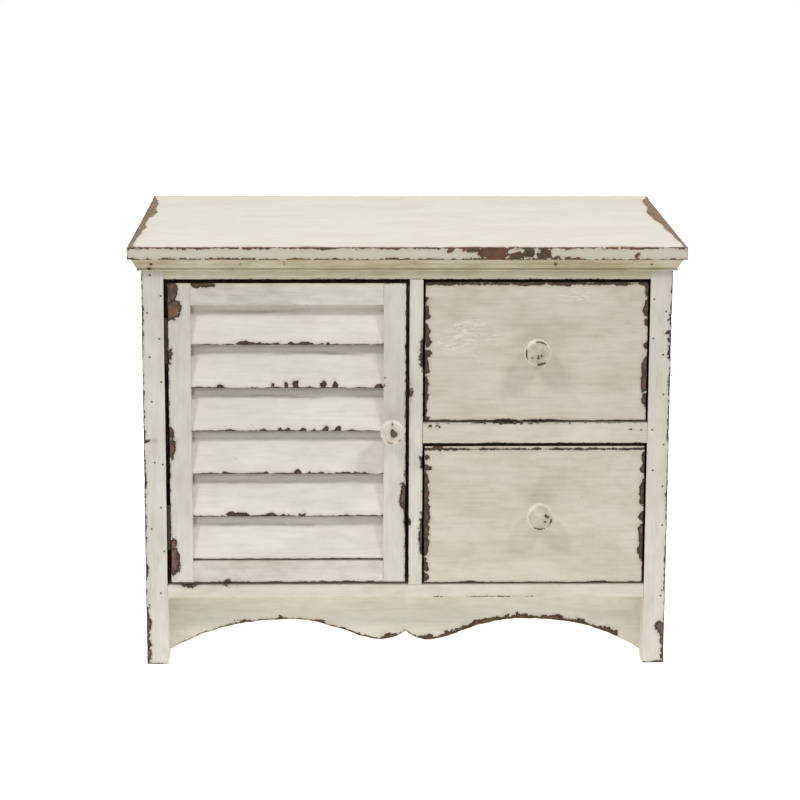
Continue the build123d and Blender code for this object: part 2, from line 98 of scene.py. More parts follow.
def linear(colour: str) -> tuple[float, float, float, float]:
    """An sRGB hex colour made linear by the sRGB curve.

    Args:
        colour: six hex digits after a hash mark.

    Returns:
        Linear red, green, blue and an alpha of 1.
    """
    channels = np.array([int(colour[i : i + 2], 16) for i in (1, 3, 5)]) / 255.0
    low, high = channels / 12.92, ((channels + 0.055) / 1.055) ** 2.4
    red, green, blue = np.where(channels <= 0.04045, low, high)
    return float(red), float(green), float(blue), 1.0


def smooth(value: Array) -> Array:
    """A step from 0 to 1 that eases in and out: 3t squared less 2t cubed, with t held between 0 and 1."""
    held = np.clip(value, 0.0, 1.0)
    return held * held * (3.0 - 2.0 * held)


def corner_value(cell: Array, seed: int) -> Array:
    """A fixed random value from -1 to 1 for each lattice corner, by mixing the bits of its numbers.

    Args:
        cell: whole numbers, three to a row.
        seed: picks one of many fields.

    Returns:
        One value a row.
    """
    mixed = cell[:, 0] * 374761393 + cell[:, 1] * 668265263 + cell[:, 2] * 1442695041 + seed * 974634777
    mixed = mixed & 0xFFFFFFFF
    mixed = ((mixed ^ (mixed >> 13)) * 1274126177) & 0xFFFFFFFF
    mixed = (mixed ^ (mixed >> 16)) & 0xFFFFFFFF
    return mixed / 0x7FFFFFFF - 1.0


def noise(points: Array, size: float, seed: int) -> Array:
    """Smooth noise in space: the values at the eight corners of a cube, blended by a smooth step.

    Args:
        points: places in millimetres, three to a row.
        size: width of one bump in millimetres.
        seed: picks the field.

    Returns:
        Values from -1 to 1.
    """
    scaled = points / size
    base = np.floor(scaled).astype(np.int64)
    blend = smooth(scaled - base)
    total = np.zeros(len(points))
    for corner in np.ndindex(2, 2, 2):
        share = np.prod(np.where(np.array(corner) == 1, blend, 1.0 - blend), axis=1)
        total += share * corner_value(base + np.array(corner), seed)
    return total


def rough_noise(points: Array, size: float, seed: int) -> Array:
    """Noise of three layers, each half the size and 0.55 the height of the one before, from about -1 to 1."""
    heights = [0.55**k for k in range(3)]
    layers = [noise(points, size / 2**k, seed + 31 * k) * height for k, height in enumerate(heights)]
    return np.sum(layers, axis=0) / sum(heights)


def make_mesh(
    name: str, points: Array, faces: Sequence[Array], attributes: dict[str, Array]
) -> bpy.types.Object:
    """A smooth-shaded object from arrays.

    Args:
        name: the piece's name.
        points: places in millimetres, three to a row.
        faces: arrays of corner numbers, one face to a row, any number of corners to a face.
        attributes: one number for each point, under each name.

    Returns:
        The new object, at the origin.
    """
    corners = np.concatenate([block.ravel() for block in faces]).astype(np.int32)
    totals = np.concatenate([np.full(len(block), block.shape[1]) for block in faces]).astype(np.int32)
    mesh = bpy.data.meshes.new(name)
    mesh.vertices.add(len(points))
    mesh.vertices.foreach_set("co", (points * MM).astype(np.float32).ravel())
    mesh.loops.add(len(corners))
    mesh.loops.foreach_set("vertex_index", corners)
    mesh.polygons.add(len(totals))
    mesh.polygons.foreach_set("loop_start", np.cumsum(totals) - totals)
    mesh.polygons.foreach_set("loop_total", totals)
    mesh.polygons.foreach_set("use_smooth", np.ones(len(totals), dtype=bool))
    mesh.update(calc_edges=True)
    mesh.validate()
    for title, values in attributes.items():
        layer = mesh.attributes.new(title, "FLOAT", "POINT")
        layer.data.foreach_set("value", values.astype(np.float32))
    made = bpy.data.objects.new(name, mesh)
    bpy.context.scene.collection.objects.link(made)
    return made


def make_piece(
    name: str,
    points: Array,
    faces: Sequence[Array],
    attributes: dict[str, Array],
    finish: Material,
    body: str,
    node: Optional[str] = None,
) -> None:
    """Makes a dressed piece that rides its body.

    Args:
        name: the piece's name.
        points: places in millimetres.
        faces: arrays of corner numbers.
        attributes: one number for each point, under each name.
        finish: its material.
        body: what it moves with.
        node: the solid that it stands in for, if there is one.
    """
    made = make_mesh(name, points, faces, attributes)
    made.data.materials.append(finish)
    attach(made, body)
    if node is not None:
        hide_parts(node)
    log.info("%s: %d points", made.name, len(points))


def dress(finish: Material, *nodes: str) -> None:
    """Gives solids that stay as they are one material, whatever slots they have.

    Args:
        finish: the material.
        nodes: the solids.
    """
    for node in nodes:
        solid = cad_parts[node]
        solid.data.materials.clear()
        solid.data.materials.append(finish)


def node_box(node: str) -> Box:
    """The lowest and highest corner of a solid, in millimetres."""
    low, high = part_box(node)
    return np.array(low) / MM, np.array(high) / MM


def tube_faces(rings: int, around: int) -> list[Array]:
    """Faces of a closed section carried along a path, with both ends filled.

    Args:
        rings: how many sections there are.
        around: how many points a section has.

    Returns:
        Blocks of faces, for points numbered ring by ring, the section turning right-handed about the path.
    """
    grids = np.meshgrid(np.arange(rings - 1), np.arange(around), indexing="ij")
    ring, step = (grid.ravel() for grid in grids)
    here, following = ring * around, (step + 1) % around
    sides = np.stack([here + step, here + following, here + around + following, here + around + step], axis=1)
    return [sides, np.arange(around)[::-1][None, :], (rings - 1) * around + np.arange(around)[None, :]]


# Wear of the paint


@dataclass(frozen=True)
class Chip:
    """A place where the paint has come off: an ellipsoid about a point on the piece.

    Attributes:
        centre: its middle in millimetres.
        half: half its length, depth and height.
    """

    centre: tuple[float, float, float]
    half: tuple[float, float, float]

    def loss(self, points: Array, seed: int) -> Array:
        """How far inside the patch each point lies: its smaller half size, less the scaled distance.

        The points are first pushed about by noise in proportion to the patch, so that its outline is broken.

        Args:
            points: places in millimetres.
            seed: picks the noise.

        Returns:
            Millimetres, at most the smaller half size.
        """
        small = min(self.half[0], self.half[2])
        centre, half = np.array(self.centre), np.array(self.half)
        lost = np.full(len(points), SOUND)
        near = np.linalg.norm((points - centre) / (half + 3.0), axis=1) < 1.8
        local = points[near]
        pushed = local.copy()
        for axis in (0, 2):
            broad = noise(local, 1.1 * small + 1.0, seed + 5 * axis)
            fine = noise(local, 0.45 * small + 0.8, seed + 5 * axis + 1)
            pushed[:, axis] += (0.3 * small + 0.3) * broad + (0.12 * small + 0.35) * fine
        lost[near] = small * (1.0 - np.linalg.norm((pushed - centre) / half, axis=1))
        return lost


def chips_on_front(depth: float, places: Sequence[Place], half_depth: float = 3.0) -> list[Chip]:
    """Chips on a face that looks to the front.

    Args:
        depth: where that face lies along Y.
        places: x, z, half length and half height of each chip.
        half_depth: how deep each is to either side of the face.

    Returns:
        The chips.
    """
    return [Chip((x, depth, z), (half_x, half_depth, half_z)) for x, z, half_x, half_z in places]


@dataclass(frozen=True)
class RimCrack:
    """Paint lost along a knob's rim: a stretch of a circle about the knob's axis that tapers to both ends.

    Attributes:
        start: where it starts, in degrees from the right, turning upwards.
        stop: where it stops.
        inside: how far inside the knob's outline it runs, in millimetres.
        width: its greatest width in millimetres.
        rim_depth: how far the rim lies behind the middle of the face, in millimetres.
    """

    start: float
    stop: float
    inside: float
    width: float
    rim_depth: float = 2.4

    def loss(self, points: Array, middle: Array, radius: float, front: float) -> Array:
        """How far inside the crack each point lies: half its width there, less the distance from its circle.

        The half width falls from the middle of the stretch to its ends as the height of a half circle does,
        and the distance grows behind the rim.

        Args:
            points: places in millimetres.
            middle: a point on the knob's axis.
            radius: of the knob.
            front: the knob's foremost place along Y.

        Returns:
            One value a point, in millimetres.
        """
        across, up = points[:, 0] - middle[0], points[:, 2] - middle[2]
        centre, half = (self.start + self.stop) / 2.0, (self.stop - self.start) / 2.0
        turn = (np.degrees(np.arctan2(up, across)) - centre + 180.0) % 360.0 - 180.0
        taper = np.sqrt(np.maximum(1.0 - (turn / half) ** 2, 0.0))
        away = np.abs(np.hypot(across, up) - (radius - self.inside))
        away = away + 0.8 * np.maximum(points[:, 1] - front - self.rim_depth, 0.0)
        return np.where(np.abs(turn) < half, 0.5 * self.width * taper - away, SOUND)


@dataclass(frozen=True)
class EdgeWear:
    """How far the paint has worn back from the edges of a piece, in millimetres.

    Attributes:
        line: worn everywhere along the edge.
        bite: worn as well at the worst places.
        share: from 0 to 1, how much of the edge is among those.
        spread: length of a worn stretch.
        widths: places along the edge and the width worn there, in place of the line.
        axis: the axis along which those places are given.
        down: how much sooner it dies away down the second side than across the first.
        inset: how far from the edge the worn line runs.
    """

    line: float = 0.3
    bite: float = 1.8
    share: float = 0.35
    spread: float = 24.0
    widths: tuple[tuple[float, float], ...] = ()
    axis: int = 1
    down: float = 1.0
    inset: float = 0.0

    def reach(self, points: Array, seed: int) -> Array:
        """The line, made uneven, and the bite where slow noise is above a level that the share sets.

        Args:
            points: places in millimetres.
            seed: picks the noise.

        Returns:
            The width worn at each point.
        """
        if self.widths:
            places, worn = np.array(self.widths).T
            return np.interp(points[:, self.axis], places, worn) + 0.5 * noise(points, 6.0, seed + 3)
        slow = 0.6 * noise(points, self.spread, seed) + 0.4 * noise(points, self.spread / 3.0, seed + 7)
        uneven = self.line * (1.0 + 0.8 * noise(points, 5.0, seed + 3))
        return uneven + self.bite * smooth((slow - 0.45 + self.share) / 0.5)


def ragged(points: Array, seed: int) -> Array:
    """The wobble that makes the rim of a bare patch ragged, in millimetres."""
    return 0.75 * noise(points, 2.7, seed) + 0.4 * noise(points, 1.3, seed + 11)


# Shapes of the pieces


@dataclass
class Board:
    """A board with worn, rounded edges, in the place of its solid.

    Its surface is a lattice on the six sides of the solid's box. Each point is drawn in to the box shrunk
    by a radius, then pushed out by that radius along the same line, which rounds the edges, and sinks where
    the paint or the wood is gone.

    Attributes:
        node: the solid that it stands for.
        body: what it moves with.
        finish: its material.
        seed: picks the wear.
        pitch: spacing of the lattice in millimetres along x, y and z.
        ease: radius of an edge.
        wear: the wear of its free edges.
        edges: the wear of single edges, after the two sides that meet there.
        tight: sides that butt against a neighbour, whose edges stay sharp and painted.
        chips: where the paint is gone on the front: x, z, half length and half height.
        patches: where the paint is gone elsewhere.
        raw: sides that were never painted between the front and back edges; their dark bare wood also stands
            as painted shade in the gaps.
        raw_span: the lowest and highest place of those bare sides.
        lower_edge: height of the lower edge, from the place along lower_axis.
        lower_axis: the axis along which the lower edge changes.
        marks: extra lines of the lattice along lower_axis.
        tilt: degrees by which the top leans back, about the lower front edge.
        rough: from 0 to 1, how strong the wobble of a chip's rim is.
        stretch: how much longer than wide that wobble is along x, y and z.
        box: the box that it fills, where that isn't the solid's.
    """

    node: str
    body: str
    finish: Material
    seed: int
    pitch: tuple[float, float, float] = (1.4, 1.6, 1.4)
    ease: float = 0.8
    wear: EdgeWear = EdgeWear()
    edges: tuple[tuple[Side, Side, EdgeWear], ...] = ()
    tight: tuple[Side, ...] = ()
    chips: Sequence[Place] = ()
    patches: tuple[Chip, ...] = ()
    raw: tuple[Side, ...] = ()
    raw_span: tuple[float, float] = (-math.inf, math.inf)
    lower_edge: Optional[Callable[[Array], Array]] = None
    lower_axis: int = 0
    marks: Sequence[float] = ()
    tilt: float = 0.0
    rough: float = 1.0
    stretch: tuple[float, float, float] = (1.0, 1.0, 1.0)
    box: Optional[Box] = None

    def lines(self, axis: int, low: float, high: float) -> Array:
        """Places of the lattice's lines along one axis: four in each rounded edge, then one pitch apart.

        Args:
            axis: 0, 1 or 2.
            low: where the box starts.
            high: where it ends.

        Returns:
            The places, in order.
        """
        edge = self.ease * np.array([0.0, 0.3, 0.62, 1.0])
        inside = high - low - 2.0 * self.ease
        middle = np.linspace(low + self.ease, high - self.ease, max(2, round(inside / self.pitch[axis]) + 1))
        extra = np.array(self.marks if axis == self.lower_axis else ())
        return np.unique(np.round(np.concatenate([low + edge, middle, high - edge, extra]), 4))

    def lattice(self, low: Array, high: Array) -> tuple[Array, Array]:
        """Points and four-cornered faces of the box's six sides, with shared points along the edges.

        Args:
            low: lowest corner.
            high: highest corner.

        Returns:
            Points in millimetres and faces that look outwards.
        """
        lines = [self.lines(axis, low[axis], high[axis]) for axis in range(3)]
        shape = tuple(len(line) for line in lines)
        blocks = []
        for side in Side:
            axis, end = side.value
            first, second = (axis + 1) % 3, (axis + 2) % 3
            across, up = np.meshgrid(np.arange(shape[first] - 1), np.arange(shape[second] - 1), indexing="ij")
            turns = ((0, 0), (1, 0), (1, 1), (0, 1)) if end else ((0, 0), (0, 1), (1, 1), (1, 0))
            corners = []
            for step_first, step_second in turns:
                index = [None, None, None]
                index[axis] = np.full(across.size, (shape[axis] - 1) * end)
                index[first] = across.ravel() + step_first
                index[second] = up.ravel() + step_second
                corners.append(np.ravel_multi_index(index, shape))
            blocks.append(np.stack(corners, axis=1))
        used, faces = np.unique(np.concatenate(blocks), return_inverse=True)
        places = np.unravel_index(used, shape)
        return np.stack([line[place] for line, place in zip(lines, places)], axis=1), faces.reshape(-1, 4)

    def loss(self, gaps: dict[Side, Array], world: Array) -> Array:
        """How far inside a bare patch each point lies, in millimetres, negative where the paint holds.

        It is the largest of these: the reach of each free edge's wear less the distance from that edge, each
        chip's own value, and a fixed value on the bare sides in the gaps, dark wood that is partly painted
        shade, with the ragged wobble added.

        Args:
            gaps: distances from the sides.
            world: places in the cabinet's frame, where the chips are.

        Returns:
            One value a point.
        """
        wears = {frozenset((first, second)): wear for first, second, wear in self.edges}
        lost = np.full(len(world), SOUND)
        for number, side in enumerate(Side):
            for other in list(Side)[number + 1 :]:
                if side.value[0] == other.value[0] or side in self.tight or other in self.tight:
                    continue
                wear = wears.get(frozenset((side, other)), self.wear)
                away = np.abs(np.hypot(gaps[side], wear.down * gaps[other]) - wear.inset)
                near = away < 14.0
                reach = wear.reach(world[near], self.seed + 17 * number)
                lost[near] = np.maximum(lost[near], reach - away[near])
        for chip in (*chips_on_front(node_box(self.node)[0][1], self.chips), *self.patches):
            lost = np.maximum(lost, chip.loss(world, self.seed))
        wobble = self.rough * ragged(world / np.array(self.stretch), self.seed)
        lost = lost + wobble * np.clip(0.35 + (lost + 1.5) / 2.5, 0.0, 1.0)
        # Bare sides in the gaps: unpainted edges whose dark stain also serves as painted shade in the gaps.
        for side in self.raw:
            inside = (gaps[side] < 0.4) & (gaps[FRONT] > 1.6) & (gaps[BACK] > 1.6)
            inside &= (world[:, 2] > self.raw_span[0]) & (world[:, 2] < self.raw_span[1])
            lost = np.where(inside, np.maximum(lost, 1.6), lost)
        return lost

    def stand(self, points: Array, pivot: Array) -> Array:
        """Points turned back about the lower front edge by the tilt: a turn in the plane of y and z.

        Args:
            points: places in millimetres.
            pivot: a point on that edge.

        Returns:
            The turned points.
        """
        angle = math.radians(self.tilt)
        back, up = points[:, 1] - pivot[1], points[:, 2] - pivot[2]
        turned = points.copy()
        turned[:, 1] = pivot[1] + back * math.cos(angle) + up * math.sin(angle)
        turned[:, 2] = pivot[2] - back * math.sin(angle) + up * math.cos(angle)
        return turned

    def own_box(self) -> Box:
        """The box that the board fills in its own frame."""
        return self.box or node_box(self.node)

    def attributes(self, lost: Array, world: Array) -> dict[str, Array]:
        """What each point carries, by name: the loss, and on some boards more."""
        return {"loss": lost}

    def build(self) -> None:
        """Makes the board, dressed and riding, in place of its solid."""
        low, high = self.own_box()
        points, faces = self.lattice(low, high)
        lows, highs = np.tile(low, (len(points), 1)), np.tile(high, (len(points), 1))
        if self.lower_edge is not None:
            lows[:, 2] = self.lower_edge(points[:, self.lower_axis])
            share = (points[:, 2] - low[2]) / (high[2] - low[2])
            points[:, 2] = lows[:, 2] + share * (high[2] - lows[:, 2])
        gaps = {side: np.abs(points - (highs if side.value[1] else lows))[:, side.value[0]] for side in Side}
        radius = self.ease * (0.72 + 0.28 * noise(points, 9.0, self.seed + 5))
        for side in self.tight:
            radius = np.minimum(radius, np.maximum(0.1, 0.6 * gaps[side]))
        core = np.clip(points, lows + radius[:, None], highs - radius[:, None])
        out = points - core
        out = out / np.maximum(np.linalg.norm(out, axis=1), 1e-9)[:, None]
        rounded = core + out * radius[:, None]
        world = self.stand(rounded, low)
        lost = self.loss(gaps, world)
        sunk = PAINT_THICKNESS * smooth(lost / 0.5) + DENT_DEPTH * smooth((lost - 1.0) / 2.5)
        sunk = sunk + 0.07 * (1.0 + noise(world, 17.0, self.seed + 9))
        shape = self.stand(rounded - out * sunk[:, None], low)
        carried = self.attributes(lost, world)
        make_piece(f"{self.node}_painted", shape, [faces], carried, self.finish, self.body, self.node)


@dataclass
class Slat(Board):
    """A tilted slat of the louvre, whose own frame has its width upright.

    Attributes:
        width: its width across the grain.
        thick: its thickness.
        spacing: from one slat's lower edge to the next.
        sight_drop: how much lower than the next slat's edge the eye first meets this one.
        housing: how deep its ends are let into the stiles.
    """

    width: float = 35.0
    thick: float = 3.6
    spacing: float = 32.1
    sight_drop: float = 2.1
    housing: float = 4.0

    def attributes(self, lost: Array, world: Array) -> dict[str, Array]:
        """The loss, and a painted shade that falls in the lee of the slat above.

        The painted shade is a line right under that slat's edge, where its contact shadow is painted, a
        second line
        6 mm below it that wavers and fades, where the edge of its cast shadow is painted, each a bell curve
        of the distance below the edge, and a dark mark of painted shade in the gap where the slat enters the
        stile.

        Args:
            lost: the loss.
            world: places in the cabinet's frame.

        Returns:
            One number a point, under each name.
        """
        low = node_box(self.node)[0]
        edge = low[2] + self.thick * math.sin(math.radians(self.tilt)) + self.spacing - self.sight_drop
        below = edge - world[:, 2]
        along = np.stack([world[:, 0], np.zeros(len(world)), np.full(len(world), low[2])], axis=1)
        waver = 6.2 + 0.9 * noise(along, 34.0, self.seed + 41)
        strength = 0.55 + 0.5 * noise(along, 26.0, self.seed + 43)
        # Painted shade: a contact shadow right under the upper edge, then the cast shadow's edge lower down.
        line = 0.9 * np.exp(-((below / 1.2) ** 2))
        second = strength * np.exp(-(((below - waver) / 1.1) ** 2))
        # Painted shade in the gap where the slat's end enters the stile.
        inside = world[:, 0] - low[0] - self.housing
        end = smooth(1.25 - inside / 2.6) * smooth((9.0 - below) / 2.0) * smooth((below + 2.0) / 2.0)
        return {"loss": lost, "grime": np.clip(np.maximum(np.maximum(line, second), end), 0.0, 1.0)}

    def own_box(self) -> Box:
        """The slat stood upright on its lower front edge, cut short where the rail trims it."""
        low, high = node_box(self.node)
        angle = math.radians(self.tilt)
        corner = self.ease * (math.sin(angle) + math.cos(angle) - 1.0)
        foot = np.array([low[0], low[1] - corner, low[2] + self.thick * math.sin(angle) - corner])
        room = (high[2] + corner - foot[2]) / math.cos(angle)
        return foot, np.array([high[0], foot[1] + self.thick, foot[2] + min(self.width, room)])


# Materials


def add_node(
    tree: Tree, kind: str, settings: Optional[dict[str, Any]] = None, inputs: Optional[dict[Any, Any]] = None
) -> bpy.types.Node:
    """Adds one node to a material.

    Args:
        tree: the material's nodes.
        kind: the node's type.
        settings: its properties, by name.
        inputs: its sockets, by name or number: a value, or a node and the name or number of its output.

    Returns:
        The new node.
    """
    new = tree.nodes.new(kind)
    for name, value in (settings or {}).items():
        setattr(new, name, value)
    for key, value in (inputs or {}).items():
        if isinstance(value, tuple) and isinstance(value[0], bpy.types.Node):
            tree.links.new(value[0].outputs[value[1]], new.inputs[key])
        else:
            new.inputs[key].default_value = value
    return new


def new_material(name: str) -> tuple[Material, Tree]:
    """An empty material and its nodes.

    Args:
        name: the material's name.

    Returns:
        The material and its nodes.
    """
    material = bpy.data.materials.new(name)
    material.use_nodes = True
    material.node_tree.nodes.clear()
    return material, material.node_tree


def mix_colours(tree: Tree, share: Any, first: Any, second: Any) -> Socket:
    """The output that blends two colours by a share from 0 to 1."""
    return add_node(tree, "ShaderNodeMix", {"data_type": "RGBA"}, {0: share, 6: first, 7: second}), 2


def ramp(tree: Tree, value: Any, low: float, high: float, to_low: float, to_high: float) -> Socket:
    """The output that carries a value from one span to another by a smooth step, held at both ends."""
    inputs = {"Value": value, "From Min": low, "From Max": high, "To Min": to_low, "To Max": to_high}
    return add_node(tree, "ShaderNodeMapRange", {"interpolation_type": "SMOOTHSTEP"}, inputs), "Result"


def combine(tree: Tree, operation: str, first: Any, second: Any) -> Socket:
    """The output of a sum, difference, product or maximum of two values."""
    return add_node(tree, "ShaderNodeMath", {"operation": operation}, {0: first, 1: second}), 0


def object_place(tree: Tree) -> Socket:
    """The place on the object, in metres."""
    return add_node(tree, "ShaderNodeTexCoord"), "Object"


def stretched(grain: Grain, along: float, across: float) -> tuple[float, float, float]:
    """A pattern's size on each axis, long on the grain's axis and short on the others."""
    sizes = [across, across, across]
    sizes[grain.value] = along
    return tuple(sizes)


def fine_noise(tree: Tree, size: Any, detail: float, distortion: float = 0.0) -> Socket:
    """Noise in the object's space.

    Args:
        tree: the material's nodes.
        size: width of a bump in millimetres, for all axes or for each.
        detail: how many finer layers it has.
        distortion: how far it is swirled.

    Returns:
        The output.
    """
    sizes = size if isinstance(size, tuple) else (size, size, size)
    scale = tuple(1.0 / (MM * length) for length in sizes)
    inputs = {"Vector": object_place(tree), "Scale": scale}
    place = add_node(tree, "ShaderNodeMapping", inputs=inputs), "Vector"
    inputs = {"Vector": place, "Scale": 1.0, "Detail": detail, "Distortion": distortion}
    return add_node(tree, "ShaderNodeTexNoise", inputs=inputs), 0


def relief(tree: Tree, height: Any, depth: float, strength: float, under: Optional[Socket] = None) -> Socket:
    """A bump that follows a pattern, over another bump where there is one.

    Args:
        tree: the material's nodes.
        height: the pattern.
        depth: how high it stands, in metres.
        strength: from 0 to 1, how much of it shows.
        under: another relief beneath it.

    Returns:
        The output.
    """
    inputs = {"Height": height, "Distance": depth, "Strength": strength}
    if under is not None:
        inputs["Normal"] = under
    return add_node(tree, "ShaderNodeBump", inputs=inputs), "Normal"


def surface(tree: Tree, colour: Socket, rough: Any, bumps: Socket, more: dict[str, float]) -> None:
    """Ends a material in its shader.

    Args:
        tree: the material's nodes.
        colour: its colour.
        rough: its roughness.
        bumps: its relief.
        more: further inputs, by name.
    """
    inputs = {"Base Color": colour, "Roughness": rough, "Normal": bumps, **more}
    shader = add_node(tree, "ShaderNodeBsdfPrincipled", inputs=inputs)
    add_node(tree, "ShaderNodeOutputMaterial", inputs={"Surface": (shader, "BSDF")})


@dataclass(frozen=True)
class ChalkPaint:
    """Matt chalk paint, brushed on pine or similar soft wood, worn through to the stained wood.

    It gives the eye a dry, soft surface with brush strokes along the grain, cloudy patches, and chips with
    a dark rim where the stain under the paint shows before the wood does.

    Attributes:
        name: the finish's name.
        grain: the axis of the brush strokes and the wood's grain.
        coat: the paint.
        cloud: the paint where it is thin or dirty.
        glaze: the brown that shows through beside a chip.
        grime: the colour of the shade painted in the lee of each slat.
        speck: the specks.
        dab: the dabs.
        flecks: from 0 to 1, how many dark specks there are.
        mottled: from 0 to 1, how strong the clouds and mottles are.
        dabbed: patches of pale dabs: x, z, half length and half height in millimetres.
        brushed: from 0 to 1, how plain the brush strokes are.
        front: coat and cloud of the faces that look forwards, where they differ: darker tones there, as
            painted shade.
        worn: whether its pieces carry the attribute of lost paint.
        grimy: whether its pieces carry the attribute of painted shade.
        fray: from 0 to 1, how frayed a chip's rim is.
        rim: width of the dark rim inside a chip, in millimetres.
        halo: from 0 to 1, how much of the glaze shows at a chip's rim.
        stain: the dark layer between paint and wood.
        wood_dark: the wood's darker lines.
        wood_light: the wood between them.
        wood_red: its redder places.
        front_wood: the two tones of bare wood on the faces that look forwards, where they differ.
        roughness: of the paint; dry chalk paint scatters broadly.
        wood_roughness: of the bare wood, which scatters broader still.
        stroke_height: of the brush strokes and of a chip's step, in metres.
    """

    name: str
    grain: Grain
    coat: str = "#DAD5C7"
    cloud: str = "#C6C0AE"
    glaze: str = "#A89A80"
    grime: str = "#938C76"
    speck: str = "#6E6350"
    dab: str = "#EAE4D6"
    flecks: float = 0.4
    mottled: float = 0.6
    dabbed: tuple[Place, ...] = ()
    brushed: float = 0.25
    front: Optional[tuple[str, str]] = None
    worn: bool = True
    grimy: bool = False
    fray: float = 1.0
    rim: float = 2.7
    halo: float = 0.34
    stain: str = "#3A3125"
    wood_dark: str = "#43372A"
    wood_light: str = "#86704F"
    wood_red: str = "#785443"
    front_wood: Optional[tuple[str, str]] = None
    roughness: float = 0.62
    wood_roughness: float = 0.85
    stroke_height: float = 0.00022

    def lost(self, tree: Tree) -> Any:
        """The loss that the piece carries, or that of whole paint where it carries none."""
        if not self.worn:
            return SOUND
        return add_node(tree, "ShaderNodeAttribute", {"attribute_name": "loss"}), "Fac"

    def bare_amount(self, tree: Tree) -> Socket:
        """The loss, with a fraying finer than the mesh can hold: bumps of 0.8 mm and of 2.2 mm.

        Args:
            tree: the material's nodes.

        Returns:
            The output.
        """
        total = self.lost(tree)
        for size, detail, height in ((0.8, 3.0, 2.6), (2.2, 2.0, 3.0)):
            bumps = combine(tree, "SUBTRACT", fine_noise(tree, size, detail), 0.5)
            total = combine(tree, "ADD", total, combine(tree, "MULTIPLY", bumps, self.fray * height))
        return total

    def forward(self, tree: Tree) -> Socket:
        """One on faces that look forwards, and nothing on the others."""
        turn = add_node(tree, "ShaderNodeNewGeometry"), "Normal"
        turn = add_node(tree, "ShaderNodeSeparateXYZ", inputs={0: turn}), "Y"
        return ramp(tree, turn, -0.85, -0.45, 1.0, 0.0)

    def wood(self, tree: Tree) -> Socket:
        """Brown wood: grain lines 0.8 mm apart and 22 mm long, stains 7 mm wide, redder places 18 mm wide.

        Args:
            tree: the material's nodes.

        Returns:
            The output.
        """
        lines = ramp(tree, fine_noise(tree, stretched(self.grain, 22.0, 0.8), 4.0, 0.4), 0.38, 0.62, 0.4, 1.0)
        stains = ramp(tree, fine_noise(tree, 7.0, 3.0), 0.38, 0.6, 0.3, 1.0)
        tone = combine(tree, "MULTIPLY", lines, stains)
        brown = mix_colours(tree, tone, linear(self.wood_dark), linear(self.wood_light))
        redder = ramp(tree, fine_noise(tree, 18.0, 2.0), 0.48, 0.6, 0.0, 0.8)
        return mix_colours(tree, redder, brown, linear(self.wood_red))

    def under(self, tree: Tree, bare: Socket) -> Socket:
        """What a chip shows: a rim of stain, then the wood, in two tones of its own on forward faces.

        Args:
            tree: the material's nodes.
            bare: the frayed loss.

        Returns:
            The output.
        """
        uneven = combine(tree, "MULTIPLY", fine_noise(tree, 3.0, 3.0), 4.0)
        deep = ramp(tree, combine(tree, "ADD", bare, uneven), self.rim, self.rim + 1.7, 0.0, 1.0)
        shown = mix_colours(tree, deep, linear(self.stain), self.wood(tree))
        if self.front_wood is None:
            return shown
        patches = ramp(tree, fine_noise(tree, 16.0, 2.0), 0.42, 0.56, 0.0, 1.0)
        ahead = mix_colours(tree, patches, *(linear(tone) for tone in self.front_wood))
        return mix_colours(tree, combine(tree, "MULTIPLY", self.forward(tree), 0.8), shown, ahead)

    def paint(self, tree: Tree, strokes: Socket) -> Socket:
        """Paint with soft clouds 60 mm long, mottles 13 mm long, brush strokes, painted shade and specks.

        Args:
            tree: the material's nodes.
            strokes: the pattern of the brush strokes.

        Returns:
            The output.
        """
        clouds = fine_noise(tree, stretched(self.grain, 60.0, 26.0), 3.0)
        mottles = fine_noise(tree, stretched(self.grain, 13.0, 6.0), 4.0)
        thin = ramp(tree, clouds, 0.4, 0.62, 0.0, 0.6 * self.mottled)
        thin = combine(tree, "ADD", thin, ramp(tree, mottles, 0.42, 0.64, 0.0, 0.4 * self.mottled))
        thin = combine(tree, "ADD", thin, ramp(tree, strokes, 0.42, 0.66, 0.0, self.brushed))
        colour = mix_colours(tree, thin, linear(self.coat), linear(self.cloud))
        # Forward faces take darker tones of their own: painted shade against the lit tops and sides.
        if self.front is not None:
            ahead = mix_colours(tree, thin, *(linear(tone) for tone in self.front))
            colour = mix_colours(tree, self.forward(tree), colour, ahead)
        if self.grimy:
            # Painted shade in the lee of each slat above, broken into streaks.
            painted_shade_mask = add_node(tree, "ShaderNodeAttribute", {"attribute_name": "grime"}), "Fac"
            shade_streaks = fine_noise(tree, stretched(self.grain, 9.0, 1.4), 3.0)
            painted_shade_mask = combine(tree, "MULTIPLY", painted_shade_mask, ramp(tree, shade_streaks, 0.32, 0.6, 0.35, 0.85))
            colour = mix_colours(tree, painted_shade_mask, colour, linear(self.grime))
        near = ramp(tree, self.lost(tree), -2.4, 0.4, 0.0, self.halo)
        colour = mix_colours(tree, near, colour, linear(self.glaze))
        level = 0.78 - 0.07 * self.flecks
        specks = ramp(tree, fine_noise(tree, 1.7, 2.0), level, level + 0.03, 0.0, 0.7)
        return mix_colours(tree, specks, colour, linear(self.speck))

